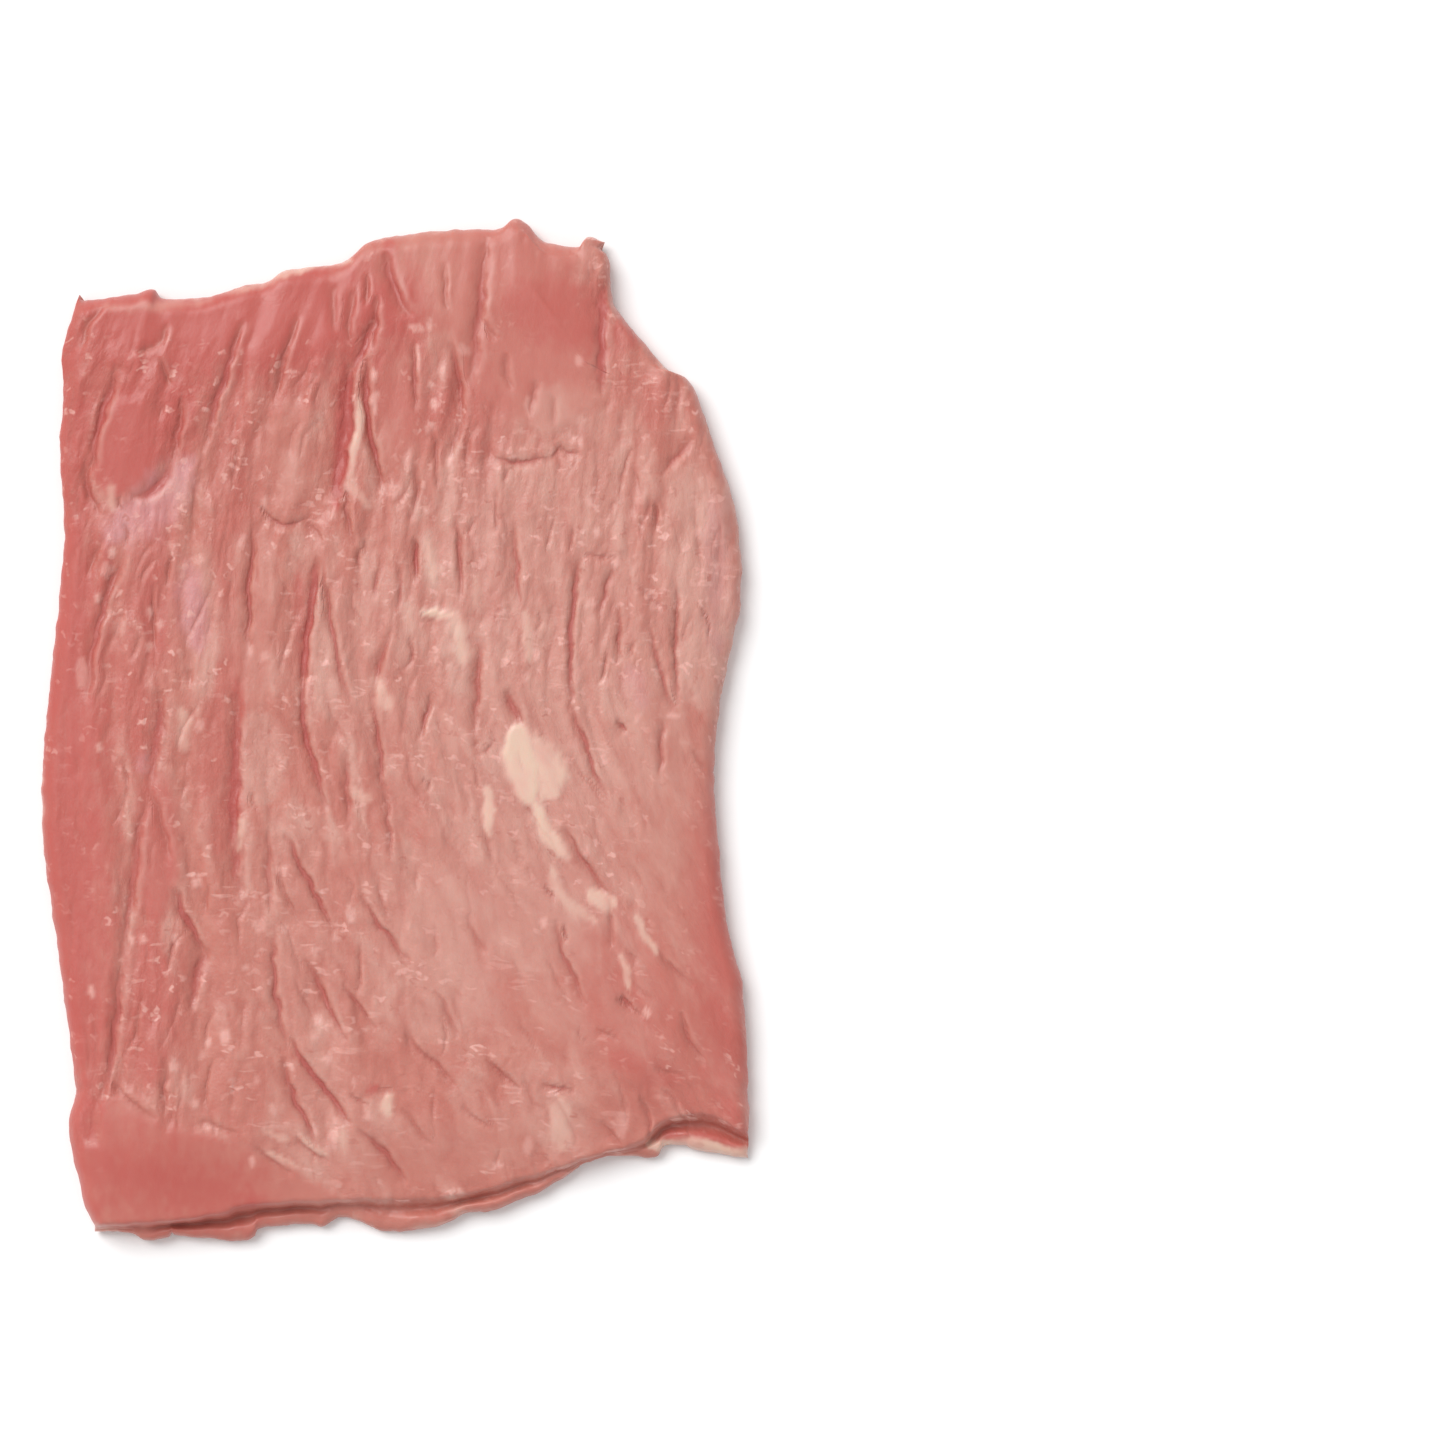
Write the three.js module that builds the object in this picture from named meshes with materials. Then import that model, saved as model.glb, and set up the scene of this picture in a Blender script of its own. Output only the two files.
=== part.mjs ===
// A thin-cut beef frying steak: one raw slice that lies flat on its cut face.
// The upper face shows long bundles of muscle that part along seams. At the front the cut
// has opened a crevice, and a lower lip of meat stands out under the upper edge.
// The solid is one closed skin: a grid over the upper face and the lip, a band down the
// side, and a flat face underneath. Millimetres, +Z up, +Y towards the far end.
import * as THREE from "three";
import { ParametricGeometry } from "three/addons/geometries/ParametricGeometry.js";
import { mergeGeometries, mergeVertices } from "three/addons/utils/BufferGeometryUtils.js";

// Heights above the surface that the slice lies on.
const THICKNESS = 8.6;
const EDGE_THINNING = 1.5;
const THINNING_REACH = 16;
const RIM_HEIGHT = 3.1;
const LIP_RIM_HEIGHT = 1.5;
const LIP_CREST_HEIGHT = 3.6;
const CREVICE_HEIGHT = 1.7;
// Where the crevice and the lip's crest lie, from 0 at the shoulder to 1 at the lip's edge.
const CREVICE_AT = 0.3;
const CREST_AT = 0.6;

// How the upper face rolls over into the side, and how far the side draws in below.
const EDGE_ROLL = 3.4;
const SHOULDER_ROLL = 2.4;
const SHOULDER_DROP = 0.24;
const UNDERCUT = 1.3;

// Cells of the grid. The muscle runs along Y, so the cells are narrow across it.
const CELLS_ACROSS = 88;
const SHEET_ROWS = 48;
const LIP_ROWS = 5;
const BORDER_CELLS = 0.035;
const BORDER_CROWDING = 0.72;
// Steps along the outline's curves for each of their points, and rows of the side wall.
const CURVE_STEPS = 30;
const WALL_ROWS = 2;

// The outline seen from above, one list for each side. The far side runs from left to
// right, the right side from far to near, and the left side from near to far.
const FAR_SIDE = [
  [-59.1, 81.6], [-57.8, 80.6], [-48.4, 81.9], [-45.2, 82.7], [-43.3, 81.0], [-35.5, 81.2],
  [-27.4, 83.6], [-24.0, 84.0], [-19.9, 86.4], [-13.3, 87.0], [-9.0, 88.1], [-3.8, 91.9],
  [9.6, 93.7], [19.1, 94.1], [22.1, 95.7], [24.6, 94.9], [28.0, 91.6], [34.1, 90.6],
  [36.0, 92.4], [39.0, 91.7],
];
const RIGHT_SIDE = [
  [39.0, 91.7], [38.3, 90.4], [39.9, 88.5], [40.5, 81.6], [41.3, 79.1], [47.6, 71.3],
  [51.2, 67.4], [54.2, 66.2], [56.3, 63.0], [59.3, 54.4], [63.8, 40.3], [64.5, 24.4],
  [61.1, 7.5], [59.6, -7.5], [60.8, -25.3], [62.3, -37.5], [64.9, -47.8], [66.0, -65.6],
  [66.0, -75.6],
];
const LEFT_SIDE = [
  [-56.4, -92.3], [-58.5, -87.2], [-61.1, -74.4], [-60.0, -65.6], [-63.0, -42.2],
  [-66.2, -13.1], [-63.0, 24.4], [-61.9, 37.5], [-62.8, 51.6], [-62.1, 63.8], [-62.3, 71.3],
  [-59.1, 81.6],
];
// The near side, from left to right: the shoulder where the upper face ends, and the lip.
const SHOULDER = [
  [-56.4, -92.3], [-43.3, -91.7], [-33.0, -90.4], [-27.4, -88.7], [-9.6, -87.7],
  [10.1, -87.2], [26.1, -83.1], [38.3, -79.1], [45.8, -76.9], [49.5, -73.5], [55.1, -71.8],
  [59.8, -72.2], [66.0, -75.6],
];
const LIP = [
  [-56.4, -93.6], [-49.9, -93.9], [-47.1, -95.3], [-42.8, -94.9], [-41.8, -93.8],
  [-40.5, -94.5], [-29.3, -95.4], [-26.3, -94.5], [-25.1, -93.0], [-16.1, -92.3],
  [-13.3, -92.6], [-9.6, -90.9], [-1.9, -93.6], [8.3, -92.6], [13.3, -90.2], [18.6, -89.6],
  [27.9, -85.7], [36.4, -80.6], [42.0, -79.5], [48.6, -79.7], [50.3, -77.8], [54.4, -77.6],
  [56.1, -78.4], [66.0, -79.9],
];
const RAGGEDNESS = 0.22;
const RAGGED_REACH = 4;

// The grain leans to the left above MIDDLE, is upright there and leans to the right below.
// Its lean differs between the left part of the slice and the right part.
const GRAIN = { middle: 15, left: -40, right: 14, upperLeft: 0.0031, upperRight: 0.0012 };
const LOWER_LEAN = 0.7;
const LOWER_EASE = 45;

// The low rolling of the upper face, and the bundles of muscle side by side across it.
const SWELL = 0.45;
const WANDER = 1.2;
const BUNDLES = [
  { pitch: 11.3, height: 0.3, phase: 1.1 },
  { pitch: 6.7, height: 0.22, phase: 2.6 },
  { pitch: 4.6, height: 0.14, phase: 0.4 },
];

// The seams that part the muscle, each an arc over a chord that is written from its far end
// to its near end: [x, y, x, y, bow to the right, width, depth]. The right bank is the
// steep one, and the meat stands up a little along it.
const SEAMS = [
  [-27.8, 77.0, -35.3, 52.5, -0.5, 1.7, 1.0],
  [-18.0, 77.3, -22.1, 60.9, -0.3, 1.4, 0.7],
  [-51.0, 64.0, -57.4, 45.0, 0.0, 1.6, 0.8],
  [-40.1, 58.0, -48.9, 42.0, 2.2, 1.7, 0.9],
  [-8.1, 68.5, -10.9, 43.0, 0.5, 1.9, 1.6],
  [-4.9, 68.5, -1.7, 45.0, -1.4, 1.4, 0.9],
  [17.6, 93.0, 12.6, 56.5, 0.6, 1.8, 0.7],
  [38.8, 84.5, 38.6, 61.5, 0.3, 1.6, 0.9],
  [-49.9, 34.0, -57.0, 6.0, -1.6, 1.6, 0.9],
  [-25.9, 53.0, -28.9, 5.0, 0.9, 2.2, 0.5],
  [-43.1, 8.0, -45.8, -10.5, 0.3, 2.1, 0.9],
  [-28.7, 8.0, -28.9, -32.0, -0.9, 2.0, 1.1],
  [-14.4, 32.5, -17.4, 8.0, 0.2, 1.5, 1.4],
  [-17.4, 11.0, -12.0, -14.5, -1.4, 1.5, 1.0],
  [-13.7, 31.5, -8.3, 4.5, -0.4, 1.4, 0.8],
  [-4.5, 6.5, -0.2, -24.0, 0.4, 1.5, 0.8],
  [34.9, 34.0, 33.0, 3.0, -0.8, 1.5, 0.9],
  [33.0, 6.0, 39.9, -13.0, -0.4, 1.4, 0.8],
  [-46.1, -8.0, -51.0, -46.0, 0.0, 1.8, 0.8],
  [-51.0, -42.0, -54.8, -70.0, 0.8, 1.6, 0.9],
  [-40.9, -29.0, -34.9, -41.5, -0.6, 1.6, 1.0],
  [-20.6, -18.0, -11.1, -38.0, 0.0, 1.4, 0.9],
  [-22.5, -36.0, -19.9, -60.0, -0.9, 1.5, 0.8],
  [-19.9, -56.5, -7.5, -74.0, -0.5, 1.5, 1.1],
  [-16.3, -42.0, -8.6, -58.0, -0.6, 1.4, 0.8],
  [-6.0, -30.0, 3.0, -43.5, -0.8, 1.4, 0.8],
  [1.9, -55.0, 12.0, -66.5, -0.6, 1.4, 0.8],
  [30.0, -34.0, 36.0, -52.0, -0.7, 1.4, 0.7],
  [31.3, -17.5, 41.6, -32.0, -0.6, 1.5, 0.8],
];
const GENTLE_BANK = 1.4;
const STEEP_BANK = 0.55;
// A seam narrower than this would fall between the grid's cells.
const FINEST_SEAM = 2;

const RAW_BEEF = new THREE.MeshStandardMaterial({
  name: "raw_beef",
  color: 0xc87f74,
  roughness: 0.42,
  metalness: 0,
});

const { sin, cos, hypot, max, min, exp, sqrt, round } = Math;

// A quarter of a round edge: 0 at the rim, 1 from `reach` inwards.
function roll(distance, reach) {
  return sqrt(1 - (1 - min(distance / reach, 1)) ** 2);
}

// From 0 to 1 with an even start and end.
function ease(value) {
  return THREE.MathUtils.smoothstep(value, 0, 1);
}

// Even steps from 0 to 1, drawn together near both ends.
function crowd(step) {
  const at = (s) =>
    s + BORDER_CELLS * BORDER_CROWDING * (exp(-s / BORDER_CELLS) - exp((s - 1) / BORDER_CELLS));
  return (at(step) - at(0)) / (at(1) - at(0));
}

// A smooth curve through the points of one side.
function curveOf(points) {
  const curve = new THREE.SplineCurve(points.map(([x, y]) => new THREE.Vector2(x, y)));
  curve.arcLengthDivisions = CURVE_STEPS * points.length;
  return curve;
}

// One side of the outline as a function from 0 to 1 along it.
function side(points) {
  const curve = curveOf(points);
  return (t) => curve.getPointAt(min(max(t, 0), 1));
}

const far = side(FAR_SIDE);
const right = side([...RIGHT_SIDE].reverse());
const left = side(LEFT_SIDE);
const shoulder = side(SHOULDER);
const lipPoints = curveOf(LIP).getSpacedPoints(CURVE_STEPS * LIP.length);

// The edge of the lip straight in front of a point of the shoulder.
function lipBefore({ x }) {
  const found = lipPoints.findIndex((point, k) => k > 0 && point.x >= x);
  const next = found < 0 ? lipPoints.length - 1 : found;
  const [a, b] = [lipPoints[next - 1], lipPoints[next]];
  return new THREE.Vector2(x, THREE.MathUtils.mapLinear(x, a.x, b.x, a.y, b.y));
}

// How far the knife has torn the edge out or in, at a place along it.
function tear(along, gap) {
  const wave = sin(1.9 * along + 0.4) + 0.7 * sin(3.1 * along + 2.2);
  return RAGGEDNESS * wave * exp(-gap / RAGGED_REACH);
}

// The straight-line blend of the four sides of the upper face, which fills it evenly.
function acrossSheet(u, v) {
  const sides = new THREE.Vector2()
    .addScaledVector(shoulder(u), 1 - v)
    .addScaledVector(far(u), v)
    .addScaledVector(left(v), 1 - u)
    .addScaledVector(right(v), u);
  return sides
    .addScaledVector(shoulder(0), -(1 - u) * (1 - v))
    .addScaledVector(shoulder(1), -u * (1 - v))
    .addScaledVector(far(0), -(1 - u) * v)
    .addScaledVector(far(1), -u * v);
}

// Which fibre a point lies on, as the place where that fibre crosses the middle.
function acrossGrain(x, y) {
  const up = max(0, y - GRAIN.middle);
  const down = max(0, GRAIN.middle - y);
  const leftEnd = GRAIN.left + GRAIN.upperLeft * up * up;
  const lowerShift = (LOWER_LEAN * down * down) / (down + LOWER_EASE);
  const rightEnd = GRAIN.right + GRAIN.upperRight * up * up + lowerShift;
  if (x < leftEnd) return GRAIN.left + x - leftEnd;
  if (x > rightEnd) return GRAIN.right + x - rightEnd;
  return THREE.MathUtils.mapLinear(x, leftEnd, rightEnd, GRAIN.left, GRAIN.right);
}

// How deep one seam cuts at a point: nothing beyond its ends, most at its middle.
function seamDepth([x0, y0, x1, y1, bow, width, depth], x, y) {
  const length = hypot(x1 - x0, y1 - y0);
  const along = ((x - x0) * (x1 - x0) + (y - y0) * (y1 - y0)) / length ** 2;
  if (along <= 0 || along >= 1) return 0;
  const open = 4 * along * (1 - along);
  const aside = ((x - x0) * (y0 - y1) + (y - y0) * (x1 - x0)) / length;
  const across = (aside - bow * open) / max(width, FINEST_SEAM);
  const bank = across < 0 ? GENTLE_BANK : STEEP_BANK;
  const groove = exp(-((across / bank) ** 2));
  const ridge = across < 0 ? 0 : 0.3 * exp(-(((across - 1.5) / 0.7) ** 2));
  return depth * open ** 0.6 * (groove - ridge);
}

// The height of the upper face over the underside, away from the edges.
function upperFace(x, y) {
  const across = acrossGrain(x, y) + WANDER * (sin(y / 21 + 1) + 0.5 * sin(y / 8 + x / 13));
  let z = THICKNESS;
  z += SWELL * (sin(x / 24 + 0.7) * cos(y / 33) + 0.8 * cos(x / 41 - y / 57 + 0.5));
  for (const { pitch, height, phase } of BUNDLES) {
    const swollen = 0.6 + 0.4 * sin(y / (2.3 * pitch) + across / pitch + phase);
    z += height * swollen * sin((2 * Math.PI * across) / pitch + phase);
  }
  for (const seam of SEAMS) z -= seamDepth(seam, x, y);
  return z;
}

// The front under the shoulder: down into the crevice, up over the lip, down to its rim.
function frontHeight(top, w, x) {
  const crevice = CREVICE_HEIGHT + 0.4 * sin(x / 6 + 1);
  const crest = LIP_CREST_HEIGHT + 0.5 * sin(x / 9);
  if (w < CREVICE_AT) return top + (crevice - top) * ease(w / CREVICE_AT);
  if (w > CREST_AT) return LIP_RIM_HEIGHT + (crest - LIP_RIM_HEIGHT) * roll(1 - w, 1 - CREST_AT);
  return crevice + (crest - crevice) * ease((w - CREVICE_AT) / (CREST_AT - CREVICE_AT));
}

// The upper face and the lip in one sheet: u from left to right, v from the lip to the far side.
function skin(u, v, target) {
  const rows = LIP_ROWS + SHEET_ROWS;
  const across = crowd(u);
  const onLip = max(0, 1 - (v * rows) / LIP_ROWS);
  const along = crowd(max(0, (v * rows - LIP_ROWS) / SHEET_ROWS));
  const sheet = acrossSheet(across, along);
  const point = onLip > 0 ? sheet.clone().lerp(lipBefore(sheet), onLip) : sheet;
  const { x, y } = point;

  const leftGap = sheet.distanceTo(left(along));
  const rightGap = sheet.distanceTo(right(along));
  const farGap = sheet.distanceTo(far(across));
  const nearGap = sheet.distanceTo(shoulder(across));
  const sides = roll(leftGap, EDGE_ROLL) * roll(rightGap, EDGE_ROLL) * roll(farGap, EDGE_ROLL);

  const inland = [leftGap, rightGap, farGap, nearGap]
    .map((gap) => ease(gap / THINNING_REACH))
    .reduce((product, part) => product * part);
  const body = upperFace(x, y) - EDGE_THINNING * (1 - inland);
  const top = body * (1 - SHOULDER_DROP * (1 - roll(nearGap, SHOULDER_ROLL)));
  const height = onLip > 0 ? frontHeight(top, onLip, x) : top;
  const rim = RIM_HEIGHT + (LIP_RIM_HEIGHT - RIM_HEIGHT) * onLip;
  const tornX = tear(y, leftGap) + tear(y, rightGap);
  const tornY = tear(x, farGap) + tear(x, onLip > 0 ? 0 : nearGap);
  target.set(x + tornX, y + tornY, rim + (height - rim) * sides);
}

// The points round the edge of the skin, counter-clockwise from the near left corner.
function rimPoints() {
  const rows = LIP_ROWS + SHEET_ROWS;
  const edges = [
    [CELLS_ACROSS, (k) => [k / CELLS_ACROSS, 0]],
    [rows, (k) => [1, k / rows]],
    [CELLS_ACROSS, (k) => [1 - k / CELLS_ACROSS, 1]],
    [rows, (k) => [0, 1 - k / rows]],
  ];
  return edges.flatMap(([count, place]) =>
    Array.from({ length: count }, (_, k) => {
      const point = new THREE.Vector3();
      skin(...place(k), point);
      return point;
    }),
  );
}

// The side of the slice: from the rim down and inwards to the face that it lies on.
function wallPoint(rim, v) {
  const drawnIn = 1 - (UNDERCUT * (1 - v) ** 2) / hypot(rim.x, rim.y);
  return new THREE.Vector3(rim.x * drawnIn, rim.y * drawnIn, rim.z * v);
}

function steakGeometry() {
  const rim = rimPoints();
  const top = new ParametricGeometry(skin, CELLS_ACROSS, LIP_ROWS + SHEET_ROWS);
  const wall = new ParametricGeometry(
    (u, v, target) => target.copy(wallPoint(rim[round(u * rim.length) % rim.length], v)),
    rim.length,
    WALL_ROWS,
  );
  const outline = rim.map((point) => wallPoint(point, 0));
  const base = new THREE.ShapeGeometry(
    new THREE.Shape(outline.map(({ x, y }) => new THREE.Vector2(x, -y))),
  ).rotateX(Math.PI);

  const parts = [top, wall, base].map((part) => {
    part.deleteAttribute("normal");
    part.deleteAttribute("uv");
    return part;
  });
  const whole = mergeVertices(mergeGeometries(parts), 1e-3);
  whole.computeBoundingBox();
  const { min: low, max: high } = whole.boundingBox;
  whole.translate(-(low.x + high.x) / 2, -(low.y + high.y) / 2, -low.z);
  whole.computeVertexNormals();
  return whole;
}

const steak = new THREE.Mesh(steakGeometry(), RAW_BEEF);
steak.name = "steak";

const slice = new THREE.Group();
slice.add(steak);

export default slice;
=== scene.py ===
# %% [markdown]
# # A raw beef frying steak
# A frying steak is a thin slice cut along the muscle. Its upper face shows the bundles of
# fibres lying side by side, the seams where they part, milky films and a few flecks of fat.
# The slice could be sculpted by hand, or scattered from photographs. Here it is worked out:
# one grid of points whose heights and colours are sums of simple, named parts, so that each
# part of the look can be read, changed and learnt from.

import bpy
import numpy as np
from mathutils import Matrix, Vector


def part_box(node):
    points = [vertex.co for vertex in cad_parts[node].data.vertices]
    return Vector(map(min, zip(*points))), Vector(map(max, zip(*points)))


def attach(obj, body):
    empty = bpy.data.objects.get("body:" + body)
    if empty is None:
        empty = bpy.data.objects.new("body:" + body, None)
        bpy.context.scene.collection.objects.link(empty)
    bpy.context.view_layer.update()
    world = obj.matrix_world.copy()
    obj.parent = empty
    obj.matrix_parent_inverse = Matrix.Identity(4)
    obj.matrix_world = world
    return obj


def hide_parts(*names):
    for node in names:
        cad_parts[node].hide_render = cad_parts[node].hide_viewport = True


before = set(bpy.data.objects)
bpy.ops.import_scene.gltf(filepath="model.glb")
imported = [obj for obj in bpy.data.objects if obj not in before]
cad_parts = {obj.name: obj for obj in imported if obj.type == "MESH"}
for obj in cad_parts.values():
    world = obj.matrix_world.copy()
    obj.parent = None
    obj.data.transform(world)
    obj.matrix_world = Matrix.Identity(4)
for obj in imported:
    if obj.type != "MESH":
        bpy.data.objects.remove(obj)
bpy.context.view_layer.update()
MM = 0.001
low, high = (np.array(corner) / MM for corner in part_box("steak"))
print("the solid slice measures", (high - low).round(1), "mm")

# %% [markdown]
# ## Camera, floor and light
# The slice is seen from straight above, a little to the left of the middle of the frame. A
# long lens keeps its sides out of sight, as it does in catalogue pictures. Light from a broad
# window at the upper left draws the seams, and a white surrounding light fills the shadows.
# A lamp close by would be brighter at one end of the slice, so it is a very distant one with
# a wide spread, which is even everywhere and still casts soft shadows.

# %% Camera straight above
FRAME_WIDTH = 270.0
FRAME_CENTRE = (60.75, 1.9)
CAMERA_HEIGHT = 1500.0

camera_data = bpy.data.cameras.new("camera")
camera_data.sensor_width = 36.0
camera_data.lens = camera_data.sensor_width * CAMERA_HEIGHT / FRAME_WIDTH
camera = bpy.data.objects.new("camera", camera_data)
camera.location = (FRAME_CENTRE[0] * MM, FRAME_CENTRE[1] * MM, CAMERA_HEIGHT * MM)
bpy.context.collection.objects.link(camera)
bpy.context.scene.camera = camera
print("lens", round(camera_data.lens), "mm")

# %% Floor, lamp and surrounding light
FLOOR_WHITE = (0.96, 0.96, 0.96, 1)
FLOOR_ROUGHNESS = 0.8
# Half the floor's width, in metres.
FLOOR_REACH = 3
LAMP_FROM = Vector((-0.55, 0.62, 1.0))
LAMP_SPREAD = np.radians(38)
LAMP_STRENGTH = 2.3
SURROUNDING = 0.61

floor_mesh = bpy.data.meshes.new("floor")
floor_corners = [(-1, -1), (1, -1), (1, 1), (-1, 1)]
floor_corners = [(FLOOR_REACH * i, FLOOR_REACH * j, 0) for i, j in floor_corners]
floor_mesh.from_pydata(floor_corners, [], [(0, 1, 2, 3)])
floor = bpy.data.objects.new("floor", floor_mesh)
bpy.context.collection.objects.link(floor)
floor_finish = bpy.data.materials.new("pale_floor")
floor_finish.use_nodes = True
floor_shader = floor_finish.node_tree.nodes["Principled BSDF"]
floor_shader.inputs["Base Color"].default_value = FLOOR_WHITE
floor_shader.inputs["Roughness"].default_value = FLOOR_ROUGHNESS
floor_mesh.materials.append(floor_finish)

lamp_data = bpy.data.lights.new("window", "SUN")
lamp_data.angle = LAMP_SPREAD
lamp_data.energy = LAMP_STRENGTH
lamp = bpy.data.objects.new("window", lamp_data)
lamp.location = LAMP_FROM
lamp.rotation_euler = (-LAMP_FROM).to_track_quat("-Z", "Y").to_euler()
bpy.context.collection.objects.link(lamp)

world = bpy.data.worlds.new("studio")
world.use_nodes = True
surroundings = world.node_tree.nodes["Background"]
surroundings.inputs["Color"].default_value = (1, 1, 1, 1)
surroundings.inputs["Strength"].default_value = SURROUNDING
bpy.context.scene.world = world
bpy.context.scene.view_settings.view_transform = "Standard"
print("lamp", LAMP_STRENGTH, "and surroundings", SURROUNDING, "on a floor of", FLOOR_WHITE[0])

# %% [markdown]
# ## The outline
# Seen from above the slice has four sides, and the near one has two edges: the shoulder,
# where the upper face ends, and the lip of meat below it. A smooth curve through a few
# points gives each of them. The outline could be one closed curve, but four sides let the
# upper face be filled with an even grid.

# %% The sides of the slice, in millimetres
FAR_SIDE = [
    (-59.1, 81.6), (-57.8, 80.6), (-48.4, 81.9), (-45.2, 82.7), (-43.3, 81.0), (-35.5, 81.2),
    (-27.4, 83.6), (-24.0, 84.0), (-19.9, 86.4), (-13.3, 87.0), (-9.0, 88.1), (-3.8, 91.9),
    (9.6, 93.7), (19.1, 94.1), (22.1, 95.7), (24.6, 94.9), (28.0, 91.6), (34.1, 90.6),
    (36.0, 92.4), (39.0, 91.7),
]
RIGHT_SIDE = [
    (39.0, 91.7), (38.3, 90.4), (39.9, 88.5), (40.5, 81.6), (41.3, 79.1), (47.6, 71.3),
    (51.2, 67.4), (54.2, 66.2), (56.3, 63.0), (59.3, 54.4), (63.8, 40.3), (64.5, 24.4),
    (61.1, 7.5), (59.6, -7.5), (60.8, -25.3), (62.3, -37.5), (64.9, -47.8), (66.0, -65.6),
    (66.0, -75.6),
]
LEFT_SIDE = [
    (-56.4, -92.3), (-58.5, -87.2), (-61.1, -74.4), (-60.0, -65.6), (-63.0, -42.2),
    (-66.2, -13.1), (-63.0, 24.4), (-61.9, 37.5), (-62.8, 51.6), (-62.1, 63.8), (-62.3, 71.3),
    (-59.1, 81.6),
]
SHOULDER = [
    (-56.4, -92.3), (-43.3, -91.7), (-33.0, -90.4), (-27.4, -88.7), (-9.6, -87.7),
    (10.1, -87.2), (26.1, -83.1), (38.3, -79.1), (45.8, -76.9), (49.5, -73.5), (55.1, -71.8),
    (59.8, -72.2), (66.0, -75.6),
]
LIP = [
    (-56.4, -93.6), (-49.9, -93.9), (-47.1, -95.3), (-42.8, -94.9), (-41.8, -93.8),
    (-40.5, -94.5), (-29.3, -95.4), (-26.3, -94.5), (-25.1, -93.0), (-16.1, -92.3),
    (-13.3, -92.6), (-9.6, -90.9), (-1.9, -93.6), (8.3, -92.6), (13.3, -90.2), (18.6, -89.6),
    (27.9, -85.7), (36.4, -80.6), (42.0, -79.5), (48.6, -79.7), (50.3, -77.8), (54.4, -77.6),
    (56.1, -78.4), (66.0, -79.9),
]


def curve(points, steps=30):
    """The smooth curve through the points, and how far along it each of its samples lies.

    Between b and c of four neighbours a, b, c, d it is the cubic
    b + t (c - a) / 2 + t^2 (a - 5b/2 + 2c - d/2) + t^3 (3b - a - 3c + d) / 2.
    """
    p = np.array([points[0], *points, points[-1]])
    a, b, c, d = (p[k : len(p) - 3 + k, None] for k in range(4))
    t = np.linspace(0, 1, steps, endpoint=False)[None, :, None]
    cubic = b + t * (c - a) / 2 + t**2 * (a - 2.5 * b + 2 * c - d / 2)
    cubic = cubic + t**3 * (3 * b - a - 3 * c + d) / 2
    line = np.vstack([cubic.reshape(-1, 2), p[-1:]])
    reach = np.append(0, np.cumsum(np.linalg.norm(np.diff(line, axis=0), axis=1)))
    return reach, line


def along(side, t):
    """The point of a side at t from 0 to 1, by its length."""
    reach, line = side
    return np.stack([np.interp(t * reach[-1], reach, line[:, k]) for k in (0, 1)], axis=-1)


far, left, shoulder, lip = (curve(s) for s in (FAR_SIDE, LEFT_SIDE, SHOULDER, LIP))
right = curve(RIGHT_SIDE[::-1])
print("the sides are", [round(float(s[0][-1])) for s in (far, right, shoulder, left)], "mm long")

# %% [markdown]
# ## The grid
# A point of the upper face is a blend of the four sides, less the blend of their corners.
# Blender could fill the outline with triangles, but an even grid lets everything that
# follows be worked out as whole arrays. The cells are drawn together near the border, where
# the face rolls over, because a curve needs more of them than a flat.

# %% Fill the four sides
CELLS_ACROSS = 360
SHEET_ROWS = 222
LIP_ROWS = 14
BORDER_CELLS = 0.035
BORDER_CROWDING = 0.72


def crowd(s):
    """Even steps from 0 to 1 drawn together at both ends: s + k w (e^(-s/w) - e^((s-1)/w))."""

    def at(x):
        ends = np.exp(-x / BORDER_CELLS) - np.exp((x - 1) / BORDER_CELLS)
        return x + BORDER_CELLS * BORDER_CROWDING * ends

    return (at(s) - at(0)) / (at(1) - at(0))


def sheet(u, v):
    """(1-v) near(u) + v far(u) + (1-u) left(v) + u right(v), less the four blended corners."""
    u, v = u[None, :, None], v[:, None, None]
    near_side, far_side = along(shoulder, u[..., 0]), along(far, u[..., 0])
    left_side, right_side = along(left, v[..., 0]), along(right, v[..., 0])
    corners = (1 - v) * ((1 - u) * near_side[:, :1] + u * near_side[:, -1:])
    corners = corners + v * ((1 - u) * far_side[:, :1] + u * far_side[:, -1:])
    return (1 - v) * near_side + v * far_side + (1 - u) * left_side + u * right_side - corners


across_steps = crowd(np.linspace(0, 1, CELLS_ACROSS + 1))
along_steps = crowd(np.linspace(0, 1, SHEET_ROWS + 1))
face = sheet(across_steps, along_steps)

lip_edge = face[0].copy()
lip_edge[:, 1] = np.interp(lip_edge[:, 0], np.maximum.accumulate(lip[1][:, 0]), lip[1][:, 1])
on_lip = np.linspace(1, 0, LIP_ROWS + 1)[:-1, None, None]
front = face[0] + on_lip * (lip_edge - face[0])
plan = np.concatenate([front, face])
on_lip = np.concatenate([on_lip[..., 0], np.zeros((SHEET_ROWS + 1, 1))]) * np.ones(CELLS_ACROSS + 1)
x, y = plan[..., 0], plan[..., 1]
print("grid of", x.shape, "points")

# %% Distances to the four edges
sheet_plan = np.concatenate([np.repeat(face[:1], LIP_ROWS, axis=0), face])


def gap(edge):
    """How far each point of the sheet lies from its own point of an edge."""
    return np.linalg.norm(sheet_plan - edge, axis=-1)


left_gap = gap(sheet_plan[:, :1])
right_gap = gap(sheet_plan[:, -1:])
far_gap = gap(sheet_plan[-1:])
near_gap = gap(face[:1])
print("the right edge is up to", round(left_gap.max()), "mm from the left one")

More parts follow.
